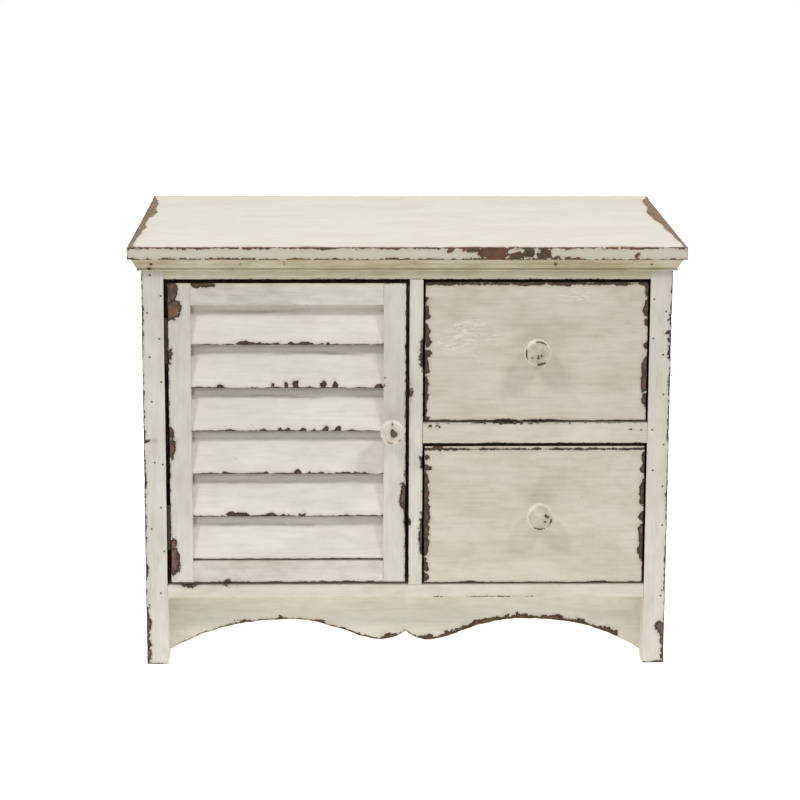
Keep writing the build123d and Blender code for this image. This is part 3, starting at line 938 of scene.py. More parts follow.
    def dabs(self, tree: Tree) -> Socket:
        """Raised pale dabs of a nearly dry brush, 5 mm long and 1.5 mm high, inside the named patches.

        Args:
            tree: the material's nodes.

        Returns:
            The output, from 0 to 1.
        """
        marks = ramp(tree, fine_noise(tree, stretched(self.grain, 5.0, 1.5), 3.0), 0.5, 0.57, 0.0, 1.0)
        place = object_place(tree)
        broken = combine(tree, "MULTIPLY", fine_noise(tree, 9.0, 3.0), 1.6)
        inside: Any = 0.0
        for x, z, half_x, half_z in self.dabbed:
            middle, scale = (x * MM, 0.0, z * MM), (1.0 / (half_x * MM), 0.0, 1.0 / (half_z * MM))
            away = add_node(tree, "ShaderNodeVectorMath", {"operation": "SUBTRACT"}, {0: place, 1: middle}), 0
            away = add_node(tree, "ShaderNodeVectorMath", {"operation": "MULTIPLY"}, {0: away, 1: scale}), 0
            away = add_node(tree, "ShaderNodeVectorMath", {"operation": "LENGTH"}, {0: away}), "Value"
            away = combine(tree, "ADD", away, broken)
            inside = combine(tree, "MAXIMUM", inside, ramp(tree, away, 1.3, 1.8, 1.0, 0.0))
        return combine(tree, "MULTIPLY", marks, inside)

    def material(self) -> Material:
        """Makes the material, under the finish's name."""
        material, tree = new_material(self.name)
        bare = self.bare_amount(tree)
        chipped = ramp(tree, bare, -0.05, 0.12, 0.0, 1.0)
        strokes = fine_noise(tree, stretched(self.grain, 30.0, 1.8), 3.0, 0.3)
        grainy = fine_noise(tree, stretched(self.grain, 5.0, 2.6), 5.0)
        painted = self.paint(tree, strokes)
        brushed = combine(tree, "ADD", combine(tree, "MULTIPLY", strokes, 0.6 + self.brushed), grainy)
        if self.dabbed:
            dabs = self.dabs(tree)
            painted = mix_colours(tree, combine(tree, "MULTIPLY", dabs, 0.75), painted, linear(self.dab))
            brushed = combine(tree, "ADD", brushed, dabs)
        colour = mix_colours(tree, chipped, painted, self.under(tree, bare))
        rough = ramp(tree, chipped, 0.0, 1.0, self.roughness, self.wood_roughness)
        step = relief(tree, combine(tree, "MULTIPLY", chipped, -1.0), self.stroke_height, 0.8)
        surface(tree, colour, rough, relief(tree, brushed, self.stroke_height, 0.6, step), {"IOR": 1.45})
        return material


@dataclass(frozen=True)
class BareWood:
    """Planed wood without a finish: pale bands and darker lines along the grain, and a dull surface.

    Attributes:
        name: the finish's name.
        grain: the axis of the grain.
        light: the wood between the lines.
        dark: the lines.
        line: spacing of the lines in millimetres.
    """

    name: str
    grain: Grain
    light: str = "#C9A77B"
    dark: str = "#A27C50"
    line: float = 2.2

    def material(self) -> Material:
        """Makes the material, under the finish's name."""
        material, tree = new_material(self.name)
        lines = fine_noise(tree, stretched(self.grain, 60.0, self.line), 5.0, 0.8)
        pores = fine_noise(tree, stretched(self.grain, 6.0, 0.35), 2.0)
        broad, narrow = ramp(tree, lines, 0.35, 0.7, 0.0, 0.8), ramp(tree, pores, 0.6, 0.75, 0.0, 0.25)
        tone = combine(tree, "ADD", broad, narrow)
        colour = mix_colours(tree, tone, linear(self.light), linear(self.dark))
        bumps = relief(tree, combine(tree, "ADD", lines, pores), 0.00015, 0.6)
        surface(tree, colour, 0.72, bumps, {"IOR": 1.5})
        return material


@dataclass(frozen=True)
class Metal:
    """Steel as it comes on small cabinet hardware, with a mottled skin.

    Attributes:
        name: the finish's name.
        clean: its main colour.
        worn: the colour of its patches.
        roughness: how dull it is.
        metallic: 1 for bare metal, less under lacquer or rust.
    """

    name: str
    clean: str
    worn: str
    roughness: float
    metallic: float

    def material(self) -> Material:
        """Makes the material, under the finish's name."""
        material, tree = new_material(self.name)
        patches = fine_noise(tree, 1.6, 4.0)
        tone = ramp(tree, patches, 0.4, 0.65, 0.0, 1.0)
        colour = mix_colours(tree, tone, linear(self.clean), linear(self.worn))
        rough = ramp(tree, patches, 0.3, 0.7, self.roughness - 0.08, self.roughness + 0.12)
        surface(tree, colour, rough, relief(tree, patches, 0.00006, 0.5), {"Metallic": self.metallic})
        return material


class Finishes:
    """The finishes of the cabinet, each made once and kept."""

    def __init__(self) -> None:
        """Makes every material."""
        along_x, along_y, along_z = Grain

        def chalk(name: str, grain: Grain, coat: str, cloud: str, **more: Any) -> Material:
            """A chalk paint of these two tones."""
            return ChalkPaint(name, grain, coat=coat, cloud=cloud, **more).material()

        # The top's front face is painted darker than its upper face, as painted shade.
        self.top = chalk(
            "top_paint", along_x, "#E8E3D6", "#DCD6C7", brushed=0.1, front=("#D5CEBE", "#CBC3B1"), rim=1.2,
            stain="#352C21", wood_dark="#64553F", wood_light="#9C8A6E", wood_red="#8C7054",
            front_wood=("#5E3A28", "#38301F"),
        )
        self.crown_x, self.crown_y = (
            chalk(f"crown_paint_{axis}", grain, "#DFD7C1", "#BDB18C", brushed=0.5, mottled=0.8)
            for axis, grain in (("x", along_x), ("y", along_y))
        )
        self.post = chalk("post_paint", along_z, "#E0DDD2", "#CBC6B6")
        self.top_rail = chalk("top_rail_paint", along_x, "#DDD5C0", "#C2B79A")
        self.rail = chalk("rail_paint", along_x, "#DED9CB", "#C8C2B0")
        self.door_up = chalk("door_stile_paint", along_z, "#DDDACF", "#C9C4B7")
        self.door_across = chalk("door_rail_paint", along_x, "#E0DCD1", "#C4C0B0", mottled=0.8, brushed=0.3)
        # The slats carry painted shade in the lee of each slat above.
        self.slat = chalk(
            "slat_paint", along_x, "#ECE8DD", "#D9D5C8", grimy=True, fray=0.45, rim=2.5,
            wood_dark="#3A2E22", wood_light="#64503A", wood_red="#6E4839",
        )
        self.drawer = chalk(
            "drawer_paint", along_x, "#D9D2C3", "#BDB4A0", brushed=0.2, mottled=0.5, flecks=0.5,
            fray=0.6, rim=2.8, stain="#40372A", wood_light="#786248", wood_red="#73503C",
            dabbed=((40.0, 247.0, 20.0, 18.0), (124.0, 277.0, 16.0, 6.0), (62.0, 247.0, 8.0, 8.0)),
        )
        self.apron = chalk("apron_paint", along_x, "#E3E0D2", "#C9C6B5")
        self.side = chalk("side_paint", along_z, "#DCD8CB", "#C6C0AF")
        # The knob's very pale coat is a painted highlight on its barrel; its forward face is painted darker,
        # as painted shade, mottled with grey scuffs.
        self.knob = chalk(
            "knob_paint", along_y, "#F8F4EA", "#E6DFCF", front=("#E2DBCC", "#BBB3A1"), mottled=0.9, halo=0.5,
            fray=0.3, rim=1.0, stain="#332C20", wood_dark="#453D30", wood_light="#736A56", wood_red="#62543F",
        )
        self.inner = chalk("inner_paint", along_y, "#C9C2AF", "#B1A993", worn=False)
        self.bare_y = BareWood("bare_wood_y", along_y).material()
        self.bare_x = BareWood("bare_wood_x", along_x).material()
        self.sheet = BareWood("plywood_sheet", along_x, light="#B58C5E", dark="#96703F", line=3.5).material()
        self.hinge = Metal("bronzed_steel", "#2E2920", "#4A3E2C", 0.5, 0.6).material()
        self.screw = Metal("zinc_steel", "#9A978D", "#7A766A", 0.38, 1.0).material()
        self.nail = Metal("rusted_nail", "#5A5144", "#857A66", 0.8, 0.1).material()
        self.catch = Metal("moulded_plastic", "#5A3C26", "#52361F", 0.5, 0.0).material()


# Sub-assemblies. Chips on a front are given as x, z, half length and half height.


@dataclass
class TopAssembly:
    """The top board and the crown moulding under it.

    Attributes:
        finishes: the cabinet's finishes.
        lip: height of the moulding's upper lip.
        slope_foot: how far out the slope ends.
        sway: how far the slope swings from a straight line, as a share of its reach.
        bead_height: height of the bead under the slope.
        bead_reach: how far out the bead stands.
        left_worn: places from front to back and the width worn bare there, at the left end.
        right_worn: the same at the right end.
        end_drop: how much sooner that wear dies away down the end than across the top.
    """

    finishes: Finishes
    lip: float = 0.7
    slope_foot: float = 2.3
    sway: float = 0.04
    bead_height: float = 1.5
    bead_reach: float = 2.9
    left_worn: tuple[tuple[float, float], ...] = (
        (-113.0, 3.4), (-106.0, 4.0), (-90.0, 3.6), (-72.0, 4.4), (-49.0, 5.4), (-30.0, 6.8),
        (-12.0, 5.2), (11.0, 5.0), (22.0, 8.4), (39.0, 9.6), (57.0, 7.0), (80.0, 6.8), (98.0, 5.0),
        (108.0, 3.0), (120.0, 1.2),
    )
    right_worn: tuple[tuple[float, float], ...] = (
        (-113.0, 2.4), (-90.0, 3.0), (-72.0, 4.4), (-53.0, 5.0), (-35.0, 6.6), (-17.0, 6.0), (-3.0, 8.6),
        (20.0, 10.0), (39.0, 10.8), (62.0, 7.2), (80.0, 7.4), (100.0, 6.6), (108.0, 3.0), (116.0, 1.2),
    )
    end_drop: float = 2.2

    def build(self) -> None:
        """Makes the board and the three lengths of moulding."""
        self.board()
        for node in ("crown_front", "crown_left", "crown_right"):
            self.moulding(node)

    def board(self) -> None:
        """The flat top, worn to the wood along its two ends and in one long patch on its front edge."""
        Board(
            "top_board", "carcass", self.finishes.top, 11,
            pitch=(1.45, 1.9, 1.2),
            ease=0.55,
            wear=EdgeWear(-0.3, 0.8, 0.15),
            edges=(
                (LEFT, TOP, EdgeWear(widths=self.left_worn, down=self.end_drop)),
                (RIGHT, TOP, EdgeWear(widths=self.right_worn, down=self.end_drop)),
                (BACK, TOP, EdgeWear(0.6, 0.6, 0.3, 30.0)),
                (FRONT, TOP, EdgeWear(1.2, 0.6, 0.3, 14.0)),
                (FRONT, BOTTOM, EdgeWear(1.0, 0.6, 0.35, 20.0)),
            ),
            chips=(
                (-200.0, 313.4, 1.2, 1.5), (-200.0, 307.2, 1.3, 1.5), (-196.0, 315.2, 4.2, 1.0),
                (-114.0, 315.2, 5.0, 1.1), (-72.0, 315.2, 4.0, 0.9), (-43.0, 314.6, 1.6, 1.5),
                (-14.0, 306.6, 4.0, 0.9), (30.0, 313.0, 3.0, 2.2), (45.0, 313.6, 7.5, 2.0),
                (61.0, 310.8, 10.5, 6.5), (77.0, 308.3, 8.0, 2.6), (75.0, 314.6, 6.0, 1.2),
                (87.0, 311.5, 3.0, 4.2), (97.0, 309.6, 5.0, 3.6), (107.5, 307.4, 2.4, 1.6),
                (114.0, 307.0, 2.0, 1.0), (138.5, 314.4, 2.0, 1.5), (152.0, 315.2, 8.0, 0.8),
                (164.0, 307.8, 2.2, 2.2), (199.6, 314.0, 1.6, 1.8),
            ),
            stretch=(1.0, 3.0, 1.0),
        ).build()

    def section(self, height: float, reach: float) -> Array:
        """The moulding's outline: how far out and how high, from the top edge down over lip, slope and bead.

        The slope falls evenly from the lip to the bead, swayed by one wave of a sine, and the bead is half
        an ellipse.

        Args:
            height: of the whole moulding.
            reach: how far the lip stands out.

        Returns:
            Points, two numbers each, with height measured down from the top as a negative number.
        """
        share = np.linspace(0.0, 1.0, 14)
        half = np.linspace(0.0, math.pi, 9)
        slope_low = -height + self.bead_height
        slope_out = reach - (reach - self.slope_foot) * (share + self.sway * np.sin(2.0 * math.pi * share))
        slope_up = -self.lip + (slope_low + self.lip) * share
        bead_out = self.slope_foot + (self.bead_reach - self.slope_foot) * np.sin(half)
        bead_up = -height + self.bead_height * (0.5 + 0.5 * np.cos(half))
        slope, bead = np.stack([slope_out, slope_up], axis=1), np.stack([bead_out, bead_up], axis=1)
        return np.concatenate([[[0.0, 0.0], [reach, 0.0]], slope, bead[1:], [[0.0, -height]]])

    def moulding(self, node: str) -> None:
        """One length of crown: the section carried along its side, its ends cut where the mitre is.

        Args:
            node: the solid.
        """
        low, high = node_box(node)
        post_low = node_box("left_post")[0]
        body_half, face = -post_low[0], post_low[1]
        rear = node_box("crown_left")[1][1]
        outline = self.section(high[2] - low[2], face - node_box("crown_front")[0][1])
        out, up = outline[:, 0], outline[:, 1] + high[2]
        finish = self.finishes.crown_y
        if node == "crown_front":
            finish = self.finishes.crown_x
            x, y = np.linspace(-1.0, 1.0, 300)[:, None] * (body_half + out), face - out
        else:
            share = np.linspace(0.0, 1.0, 150)[:, None]
            turn = -1.0 if node == "crown_left" else 1.0
            x, y = turn * (body_half + out), (face - out) * (1.0 - share) + rear * share
        points = np.stack(np.broadcast_arrays(x, y, up), axis=2)
        faces = tube_faces(*points.shape[:2])
        if node != "crown_left":
            faces = [block[:, ::-1] for block in faces]
        points = points.reshape(-1, 3)
        lost = -1.3 + 0.9 * rough_noise(points, 6.0, 61) + 0.6 * noise(points, 21.0, 67)
        places = (
            (-183.5, 301.6, 1.5, 1.2), (-184.5, 297.8, 1.4, 1.0), (-88.0, 302.4, 1.1, 1.0),
            (5.0, 302.6, 1.2, 1.1), (106.0, 301.8, 1.0, 1.6), (174.5, 301.4, 1.4, 1.2),
        )
        for chip in chips_on_front(face, places, 9.0):
            lost = np.maximum(lost, chip.loss(points, 63))
        make_piece(f"{node}_painted", points, faces, {"loss": lost}, finish, "carcass", node)


@dataclass
class FaceFrame:
    """The legs, rails and middle stile that frame the door and the drawers.

    Attributes:
        finishes: the cabinet's finishes.
        opening: lowest and highest place of the openings.
        nails: x and z of the nail heads.
    """

    finishes: Finishes
    opening: tuple[float, float] = (61.0, 289.5)
    nails: tuple[tuple[float, float], ...] = (
        (-184.5, 292.5), (-177.0, 277.5), (-187.0, 265.0), (-178.5, 246.0), (-185.5, 232.5),
        (-177.5, 214.0), (-184.5, 199.5), (-183.0, 154.0), (-177.2, 152.5), (-179.0, 120.0),
        (-186.0, 104.0), (-177.0, 87.0), (-180.0, 55.0), (-188.5, 46.0), (177.8, 275.0), (186.5, 266.0),
        (177.8, 246.0), (185.0, 234.0), (186.0, 204.5), (187.0, 167.0), (179.5, 147.5), (187.0, 135.5),
        (187.5, 106.0), (178.5, 178.0), (188.5, 56.0), (187.5, 52.0), (163.0, 178.3), (170.5, 178.0),
    )

    def member(self, node: str, finish: Material, seed: int, **more: Any) -> None:
        """One member of the frame, with little wear along its inner edges unless it has its own.

        Args:
            node: the solid.
            finish: its paint.
            seed: picks its wear.
            more: what else the board needs, by name.
        """
        more.setdefault("wear", EdgeWear(0.0, 0.7, 0.12))
        Board(node, "carcass", finish, seed, **more).build()

    def build(self) -> None:
        """Makes the six members of the frame and the nail heads in them."""
        paint, rail = self.finishes.post, self.finishes.rail
        outer = EdgeWear(0.8, 0.5, 0.4, 26.0)
        left_chips = (
            (-190.5, 170.0, 5.0, 1.2), (-190.8, 140.0, 2.2, 9.0), (-190.8, 72.0, 1.8, 6.0),
            (-190.6, 23.5, 3.2, 4.0), (-190.9, 10.0, 3.0, 13.0), (-190.9, 34.0, 2.8, 12.0),
        )
        right_chips = (
            (190.4, 262.0, 2.2, 5.0), (190.2, 250.0, 3.4, 2.2), (190.6, 238.0, 2.2, 9.0),
            (190.8, 177.0, 2.0, 5.0), (188.4, 26.0, 4.4, 6.0), (190.8, 14.0, 3.0, 14.0),
            (188.0, 0.6, 4.0, 1.6),
        )
        posts = (("left_post", LEFT, RIGHT, left_chips, 21), ("right_post", RIGHT, LEFT, right_chips, 22))
        for node, free, inner, chips, seed in posts:
            self.member(
                node, paint, seed, chips=chips, edges=((FRONT, free, outer), (BOTTOM, FRONT, outer)),
                # The inner side is bare within the openings' height, dark also as painted shade in the gap.
                tight=(TOP, BACK, inner), raw=(inner,), raw_span=self.opening,
            )
        self.member(
            "top_rail", self.finishes.top_rail, 23, pitch=(1.8, 2.4, 2.0), tight=(LEFT, RIGHT, TOP, BACK)
        )
        self.member(
            "bottom_rail", rail, 24, tight=(LEFT, RIGHT, BACK),
            edges=(
                (FRONT, BOTTOM, EdgeWear(-0.6, 0.4, 0.1, 30.0)),
                (FRONT, TOP, EdgeWear(-0.8, 0.4, 0.1, 30.0)),
            ),
            chips=(
                (-160.0, 61.0, 6.5, 1.9), (-132.0, 61.2, 2.4, 1.1), (64.0, 51.0, 20.0, 0.9),
                (24.0, 51.0, 3.2, 0.8),
            ),
        )
        self.member(
            "centre_stile", paint, 25,
            # Both sides bare where they face the gaps, dark also as painted shade.
            wear=EdgeWear(-0.4, 0.4, 0.1), tight=(TOP, BOTTOM, BACK), raw=(LEFT, RIGHT),
            chips=(
                (1.8, 206.0, 2.2, 5.5), (1.6, 215.5, 1.3, 1.2), (1.8, 110.0, 1.8, 3.5),
                (11.4, 235.0, 3.0, 12.0), (11.5, 155.0, 2.0, 6.0), (11.4, 99.0, 2.6, 15.0),
            ),
        )
        self.member(
            "drawer_rail", rail, 26, tight=(LEFT, RIGHT, BACK),
            chips=(
                (76.0, 183.7, 27.0, 1.1), (17.0, 181.0, 1.2, 1.0), (23.0, 181.0, 1.4, 1.1),
                (163.0, 178.5, 1.1, 1.1),
            ),
        )
        front = node_box("left_post")[0][1]
        nail_heads("frame_nail_heads", np.array(self.nails), front, -1.0, 0.75, self.finishes.nail)


def nail_heads(
    name: str, places: Array, depth: float, facing: float, radius: float, finish: Material
) -> None:
    """Small round nail heads, nearly flush: low domes whose height falls with the square of the radius.

    Args:
        name: the piece's name.
        places: x and z of each, in millimetres.
        depth: where the boards' face lies along Y.
        facing: -1 where they look to the front, 1 where they look to the back.
        radius: of a head.
        finish: their material.
    """
    turns = np.linspace(0.0, 2.0 * math.pi, 13)[:-1]
    share, angle = np.meshgrid(np.linspace(0.15, 1.0, 4), turns, indexing="ij")
    height = 0.14 * (1.0 - share**2) + 0.02
    # A half turn about the upright axis makes them look back without turning their faces inside out.
    dome = [-facing * radius * share * np.cos(angle), facing * height, radius * share * np.sin(angle)]
    dome = np.stack(dome, axis=2).reshape(-1, 3)
    middles = np.stack([places[:, 0], np.full(len(places), depth), places[:, 1]], axis=1)
    points = (middles[:, None, :] + dome[None, :, :]).reshape(-1, 3)
    offsets = np.arange(len(places)) * len(dome)
    one = tube_faces(*share.shape)
    faces = [(block[None, :, :] + offsets[:, None, None]).reshape(-1, block.shape[1]) for block in one]
    make_piece(name, points, faces, {}, finish, "carcass")


@dataclass
class Carcass:
    """The boards behind the face frame, and the apron between the legs.

    Attributes:
        finishes: the cabinet's finishes.
        cut_height: height of the cut-out in each side board.
        cut_round: radius of its upper corners.
        front_foot: depth of the foot behind the post.
        rear_foot: depth of the foot at the back.
        saw_stray: the most by which the saw strayed from the apron's line.
        nail_margin: from the back panel's edges to its nails.
        nail_room: by how much the back panel is drawn in, so that the nails keep within its solid's box.
        apron_worn: places along the apron's lower edge and the width worn there.
        apron_chips: chips by place along that edge and height over it.
    """

    finishes: Finishes
    cut_height: float = 26.0
    cut_round: float = 12.0
    front_foot: float = 14.0
    rear_foot: float = 30.0
    saw_stray: float = 1.3
    nail_margin: float = 5.0
    nail_room: float = 0.25
    apron_worn: tuple[tuple[float, float], ...] = (
        (-170.0, 0.5), (-150.0, 1.1), (-118.0, 1.4), (-95.0, 1.9), (-60.0, 1.5), (-25.0, 1.7), (0.0, 1.0),
        (14.0, 2.2), (84.0, 2.6), (150.0, 2.4), (159.0, 0.8), (163.0, -1.5), (176.0, -1.5),
    )
    apron_chips: tuple[Place, ...] = (
        (56.0, 1.6, 6.0, 3.0), (112.0, 1.6, 7.0, 3.0), (-93.0, 1.4, 2.4, 2.2),
        (-118.0, 0.8, 7.0, 1.9), (-68.0, 0.8, 7.0, 2.0), (-11.0, 1.8, 10.0, 3.6),
    )

    def build(self) -> None:
        """Makes the apron, sides and back, and dresses the boards inside."""
        self.apron()
        self.side("left_side", LEFT, 41)
        self.side("right_side", RIGHT, 42)
        self.back()
        inside = ("base_board", "partition", "drawer_shelf", "upper_drawer_guide", "lower_drawer_guide")
        dress(self.finishes.inner, *inside)
        dress(self.finishes.catch, "catch_body")
        dress(self.finishes.screw, "catch_magnet", "strike_plate", "door_knob_screw")

    def back(self) -> None:
        """The sheet over the back, and the nails round it."""
        low, high = node_box("back_panel")
        high[1] -= self.nail_room
        sheet = self.finishes.sheet
        Board("back_panel", "carcass", sheet, 45, pitch=(9.0, 3.0, 9.0), ease=0.3, box=(low, high)).build()
        across = np.linspace(low[0] + self.nail_margin, high[0] - self.nail_margin, 7)
        up = np.linspace(low[2] + self.nail_margin, high[2] - self.nail_margin, 5)
        rows = [(x, z) for z in (up[0], up[-1]) for x in across]
        columns = [(x, z) for z in up[1:-1] for x in (across[0], across[-1])]
        nail_heads("back_nail_heads", np.array(rows + columns), high[1], 1.0, 1.3, self.finishes.nail)

    def apron(self) -> None:
        """The scalloped board, whose lower edge is read from its solid."""
        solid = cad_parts["apron"]
        places = np.zeros(len(solid.data.vertices) * 3, dtype=np.float32)
        solid.data.vertices.foreach_get("co", places)
        places = places.reshape(-1, 3) / MM
        low, high = node_box("apron")
        edge = places[(places[:, 1] < low[1] + 0.1) & (places[:, 2] < high[2] - 0.5)]
        edge_x, edge_z = edge[np.argsort(edge[:, 0])][:, [0, 2]].T
        # A worn band on the right arch, 7 mm to a chip, and its spurs.
        worn = [(float(x), 0.9, 5.5, 3.3) for x in np.arange(12.0, 158.0, 7.0)]
        worn += [(x, 2.8, 2.4, 2.9) for x in (31.0, 43.0, 52.0, 75.0, 84.0, 129.0, 150.0, 157.0)]
        worn += self.apron_chips
        Board(
            "apron", "carcass", self.finishes.apron, 31,
            pitch=(1.25, 1.6, 1.3),
            ease=0.7,
            tight=(TOP, LEFT, RIGHT),
            edges=(
                (FRONT, BOTTOM, EdgeWear(widths=self.apron_worn, axis=0)),
                (BACK, BOTTOM, EdgeWear(0.6, 1.0, 0.4, 14.0)),
            ),
            chips=[(x, float(np.interp(x, edge_x, edge_z)) + up, wide, tall) for x, up, wide, tall in worn],
            lower_edge=lambda x: np.interp(x, edge_x, edge_z) + self.saw_marks(x),
        ).build()

    def saw_marks(self, x: Array) -> Array:
        """How far a hand-held saw strayed upwards from the line: bumps of 19 mm and 6 mm, none below it."""
        along = np.stack([x, np.zeros_like(x), np.zeros_like(x)], axis=1)
        strayed = 0.55 * noise(along, 19.0, 33) + 0.45 * noise(along, 6.0, 34)
        return self.saw_stray * np.clip(0.5 + 0.5 * strayed, 0.0, 1.0)

    def side(self, node: str, outer: Side, seed: int) -> None:
        """One side board, cut out below so that it stands on two feet.

        Args:
            node: the solid.
            outer: which of its sides faces out.
            seed: picks its wear.
        """
        low, high = node_box(node)
        start, stop = low[1] + self.front_foot, node_box("back_panel")[1][1] - self.rear_foot
        quarter = np.array([0.0, 0.12, 0.5, 1.1, 2.2, 4.0, 6.2, 9.0, 12.0]) / 12.0 * self.cut_round

        def lower_edge(y: Array) -> Array:
            """Zero on the feet, and between them the cut-out, its corners quarter circles.

            Args:
                y: places from front to back.

            Returns:
                The height at each place.
            """
            from_end = np.clip(np.minimum(y - start, stop - y), 0.0, self.cut_round)
            rise = np.sqrt(np.maximum(self.cut_round**2 - (self.cut_round - from_end) ** 2, 0.0))
            inside = (y > start + 1e-3) & (y < stop - 1e-3)
            return np.where(inside, self.cut_height - self.cut_round + rise, low[2])

        face = round(float((low, high)[outer.value[1]][0]), 3)
        worn = ((112.0, 60.0, 7.0, 16.0), (108.0, 4.0, 12.0, 5.0), (116.0, 214.0, 4.0, 22.0))
        Board(
            node, "carcass", self.finishes.side, seed,
            pitch=(2.4, 2.0, 2.0),
            wear=EdgeWear(0.5, 2.2, 0.4),
            tight=(TOP, FRONT),
            lower_edge=lower_edge,
            lower_axis=1,
            marks=np.concatenate([[start, stop], start + 0.02 + quarter, stop - 0.02 - quarter]),
            patches=tuple(Chip((face, y, z), (3.0, half_y, half_z)) for y, z, half_y, half_z in worn),
        ).build()


@dataclass
class Knob:
    """A turned knob whose profile is that of its solid, painted roughly.

    Attributes:
        node: the solid.
        body: what it moves with.
        finish: its paint.
        chips: places where the paint is gone, measured from the middle of its face.
        cracks: paint lost along its rim.
        seed: picks its lumps.
        cap_depth: from the face to the cap's back.
        neck_share: the waist's radius as a share of the cap's.
        foot_flare: how much wider the waist is at both its ends.
        dome: how far the face bulges.
        shoulder: how far the cap's edge is rounded in.
        belly: length of the cap's straight side.
        sound: the loss where the paint is whole.
    """

    node: str
    body: str
    finish: Material
    chips: tuple[Chip, ...]
    cracks: tuple[RimCrack, ...]
    seed: int
    cap_depth: float = 13.0
    neck_share: float = 0.5
    foot_flare: float = 1.4
    dome: float = 1.6
    shoulder: float = 1.3
    belly: float = 2.5
    sound: float = -2.0

    def profile(self, radius: float, length: float) -> Array:
        """Radius and height along the knob, from the foot's rim to the middle of the face.

        The waist and the two shoulders are arcs of circles, sampled by angle, and the face is a low dome
        whose height falls with the square of the distance from the middle.

        Args:
            radius: of the cap.
            length: of the whole knob.

        Returns:
            Points, two numbers each.
        """
        neck, cap_low = radius * self.neck_share, length - self.cap_depth
        rim_low, rim_high = cap_low + self.shoulder / 2.0, length - self.dome
        side_low = (rim_low + rim_high - self.belly) / 2.0
        side_high, rise = side_low + self.belly, side_low - rim_low
        share, part = np.linspace(0.0, 1.0, 13), np.linspace(0.0, 1.0, 5)
        foot, edge = neck + self.foot_flare, radius - self.shoulder
        waist = np.stack([neck + self.foot_flare * (2.0 * share - 1.0) ** 2, cap_low * share], axis=1)
        under = np.stack([foot + (edge - foot) * part, cap_low + (rim_low - cap_low) * part], axis=1)
        bend = (rise**2 + self.shoulder**2) / (2.0 * self.shoulder)
        turn = np.linspace(math.asin(rise / bend), 0.0, 8)
        lower = np.stack([radius - bend * (1.0 - np.cos(turn)), side_low - bend * np.sin(turn)], axis=1)
        upper = np.stack([lower[::-1, 0], side_high + side_low - lower[::-1, 1]], axis=1)
        inward = np.linspace(1.0, 0.03, 16)[1:]
        face = np.stack([edge * inward, rim_high + self.dome * (1.0 - inward**2)], axis=1)
        return np.concatenate([waist, under[1:], lower[1:], upper, face])

    def build(self) -> None:
        """Turns the profile about the knob's axis, roughens it and dresses it."""
        low, high = node_box(self.node)
        middle = (low + high) / 2.0
        radius, length = (high[0] - low[0]) / 2.0, high[1] - low[1]
        profile = self.profile(radius, length)
        angles = np.linspace(0.0, 2.0 * math.pi, 96, endpoint=False)
        around, behind = profile[:, 0][:, None], (high[1] - profile[:, 1])[:, None]
        x, z = middle[0] + around * np.cos(angles), middle[2] + around * np.sin(angles)
        points = np.stack(np.broadcast_arrays(x, behind, z), axis=2).reshape(-1, 3)
        lost = np.full(len(points), self.sound)
        face = np.array([middle[0], low[1], middle[2]])
        for chip in self.chips:
            placed = Chip(tuple(face + np.array(chip.centre)), chip.half)
            lost = np.maximum(lost, placed.loss(points, self.seed))
        for crack in self.cracks:
            lost = np.maximum(lost, crack.loss(points, middle, radius, low[1]))
        lost = lost + 0.25 * ragged(points, self.seed) * np.clip(0.3 + (lost + 1.2) / 2.0, 0.0, 1.0)
        outward = points - middle
        outward = outward / np.linalg.norm(outward, axis=1)[:, None]
        lumps = 0.16 * (1.0 + rough_noise(points, 3.2, self.seed + 3)) + PAINT_THICKNESS * smooth(lost / 0.5)
        on_face = points[:, 1] < low[1] + self.dome + self.shoulder
        lumps = lumps + 0.25 * smooth((lost + 0.4) / 0.8) * on_face
        points = points - outward * (lumps * (points[:, 1] < high[1] - 0.4))[:, None]
        faces = tube_faces(len(profile), len(angles))
        make_piece(f"{self.node}_painted", points, faces, {"loss": lost}, self.finish, self.body, self.node)


